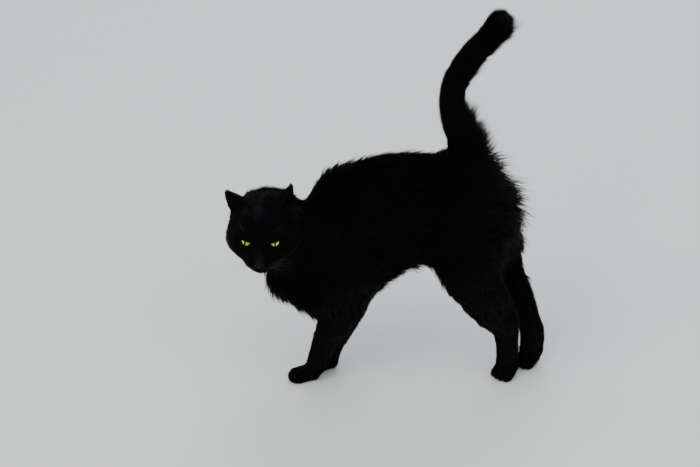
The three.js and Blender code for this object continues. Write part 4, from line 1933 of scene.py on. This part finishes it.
@dataclass
class Pads:
    """The leather pads under each paw: one broad and four small.

    The sizes are half lengths ahead, across and upwards, and toes gives each small
    pad's place across and ahead of the sole's middle.
    """

    broad: Triple = (7.5, 6.5, 3.4)
    small: Triple = (3.6, 2.9, 2.8)
    back: float = 3.0
    toes: tuple[tuple[float, float], ...] = ((-7.2, 5.5), (-2.5, 8.6), (2.5, 8.6), (7.2, 5.5))

    def build(self, finish: Finish) -> Piece:
        """Makes all pads as one piece.

        Args:
            finish: The leather.

        Returns:
            The piece.
        """
        joined = bmesh.new()
        for paw in PAWS:
            sole = self.sole(paw)
            ways = ahead, across = toe_axes(paw)
            self.add(joined, sole - ahead * self.back * MM, ways, self.broad)
            for aside, forward in self.toes:
                spot = sole + (ahead * forward + across * aside) * MM
                self.add(joined, spot, ways, self.small)
        return dressed("pads", raw("pads", joined), finish)

    @staticmethod
    def sole(paw: str) -> Rows:
        """Finds the middle of the flat that a paw stands on.

        Args:
            paw: The paw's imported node.

        Returns:
            The place on the floor.
        """
        spots = places(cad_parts[paw].data)
        flat = spots[spots[:, 2] < spots[:, 2].min() + 0.0002]
        return np.append((flat[:, :2].min(axis=0) + flat[:, :2].max(axis=0)) / 2.0, 0.0)

    @staticmethod
    def add(joined: bmesh.types.BMesh, spot: Rows, ways: tuple[Rows, Rows], half: Triple) -> None:
        """Adds one pad that rests flat on the floor.

        Args:
            joined: The mesh that the pad joins.
            spot: The pad's middle on the floor.
            ways: The way the toes point and the way across the paw.
            half: Half lengths ahead, across and upwards.
        """
        made = bmesh.ops.create_icosphere(joined, subdivisions=3, radius=1.0)["verts"]
        for vertex in made:
            x, y, z = vertex.co
            flat = ways[0] * x * half[0] + ways[1] * y * half[1]
            height = max(z * half[2] + half[2] * 0.8, 0.0)
            vertex.co = (spot + (flat + np.array([0, 0, height])) * MM).tolist()


# ---------------------------------------------------------------- studio


@dataclass(frozen=True)
class Lamp:
    """A soft square light; its place from the stage's middle and its size are in metres."""

    name: str
    place: Triple
    size: float
    watts: float
    tint: Triple


@dataclass
class Studio:
    """The floor, the soft lights and the camera."""

    head: HeadFrame
    elevation: float = 28.0
    distance: float = 2860.0
    lens: float = 114.94
    aim_from_lids: Triple = (110.6, 90.0, -33.8)
    middle: Triple = (0.0, 0.0, 0.25)
    half_floor: float = 12.0
    air: Colour = (0.86, 0.9, 0.96, 1.0)
    air_strength: float = 0.75
    lamps: tuple[Lamp, ...] = (
        Lamp("key", (-1.3, -1.7, 2.6), 2.2, 46.0, (1.0, 0.985, 0.96)),
        Lamp("fill", (2.2, -1.6, 1.5), 2.4, 12.0, (0.93, 0.96, 1.0)),
        Lamp("glint", (-0.9, -2.4, 0.6), 0.5, 8.0, (1.0, 1.0, 1.0)),
        Lamp("rim", (0.5, 2.4, 2.2), 2.0, 26.0, (0.9, 0.95, 1.0)),
    )

    def build(self) -> None:
        """Lays the floor, hangs the lights, sets the camera and fills the room with light."""
        half = self.half_floor
        mesh = bpy.data.meshes.new("floor")
        rim = [(-half, -half, 0), (half, -half, 0), (half, half, 0), (-half, half, 0)]
        mesh.from_pydata(rim, [], [(0, 1, 2, 3)])
        mesh.materials.append(FloorFinish().build())
        show("floor", mesh)
        world = bpy.data.worlds.new("room")
        world.use_nodes = True
        shade = world.node_tree.nodes["Background"]
        shade.inputs["Color"].default_value = self.air
        shade.inputs["Strength"].default_value = self.air_strength
        bpy.context.scene.world = world
        for lamp in self.lamps:
            self.light(lamp)
        self.camera()

    def light(self, lamp: Lamp) -> None:
        """Hangs one soft light that faces the cat.

        Args:
            lamp: The light.
        """
        light = bpy.data.lights.new(lamp.name, "AREA")
        light.size = lamp.size
        light.energy = lamp.watts
        light.color = lamp.tint
        holder = bpy.data.objects.new(lamp.name, light)
        holder.location = (np.array(self.middle) + lamp.place).tolist()
        toward = Vector((0.0, 0.0, 0.2)) - holder.location
        holder.rotation_euler = toward.to_track_quat("-Z", "Y").to_euler()
        bpy.context.scene.collection.objects.link(holder)

    def camera(self) -> None:
        """Sets the camera in front of the cat's left side, looking down at it."""
        target = self.head.origin + np.array(self.aim_from_lids) * MM
        angle = math.radians(self.elevation)
        toward = np.array([0.0, math.cos(angle), -math.sin(angle)])
        eye = bpy.data.cameras.new("camera")
        eye.lens = self.lens
        eye.sensor_width = 36.0
        eye.clip_end = 60.0
        holder = bpy.data.objects.new("camera", eye)
        holder.location = (target - toward * self.distance * MM).tolist()
        holder.rotation_euler = (math.pi / 2 - angle, 0.0, 0.0)
        bpy.context.scene.collection.objects.link(holder)
        bpy.context.scene.camera = holder


# ---------------------------------------------------------------- assembly


def corners(box: Iterable[Iterable[float]]) -> list[list[float]]:
    """A box as plain lists of numbers."""
    return [[float(value) for value in spot] for spot in box]


def main() -> None:
    """Builds every piece in order."""
    logging.basicConfig(level=logging.INFO, format="%(message)s")
    head = HeadFrame.found()
    tones = CoatTones().build()
    leather = LeatherFinish().build()
    wet = EyeFinish().build()
    Studio(head).build()
    skin = Skin(head, LidOpening())
    settle(skin.build(SkinFinish(tones).build()), FLESH)
    coat = Coat(skin.mesh, TuftTree().build(), CoatFinish(tones).build())
    for plot in PLOTS:
        settle(coat.grow(plot))
    for eye in (Eye(head, -1, -2.6, 12.0, 8.0), Eye(head, 1, -1.0, 15.0, 7.0)):
        settle(eye.build(wet), (eye.node,))
    settle(Nose(head).build(leather), ("nose",))
    settle(Pads().build(leather))
    settle(Whiskers(head).build(WhiskerFinish().build()))


if __name__ == "__main__":
    main()
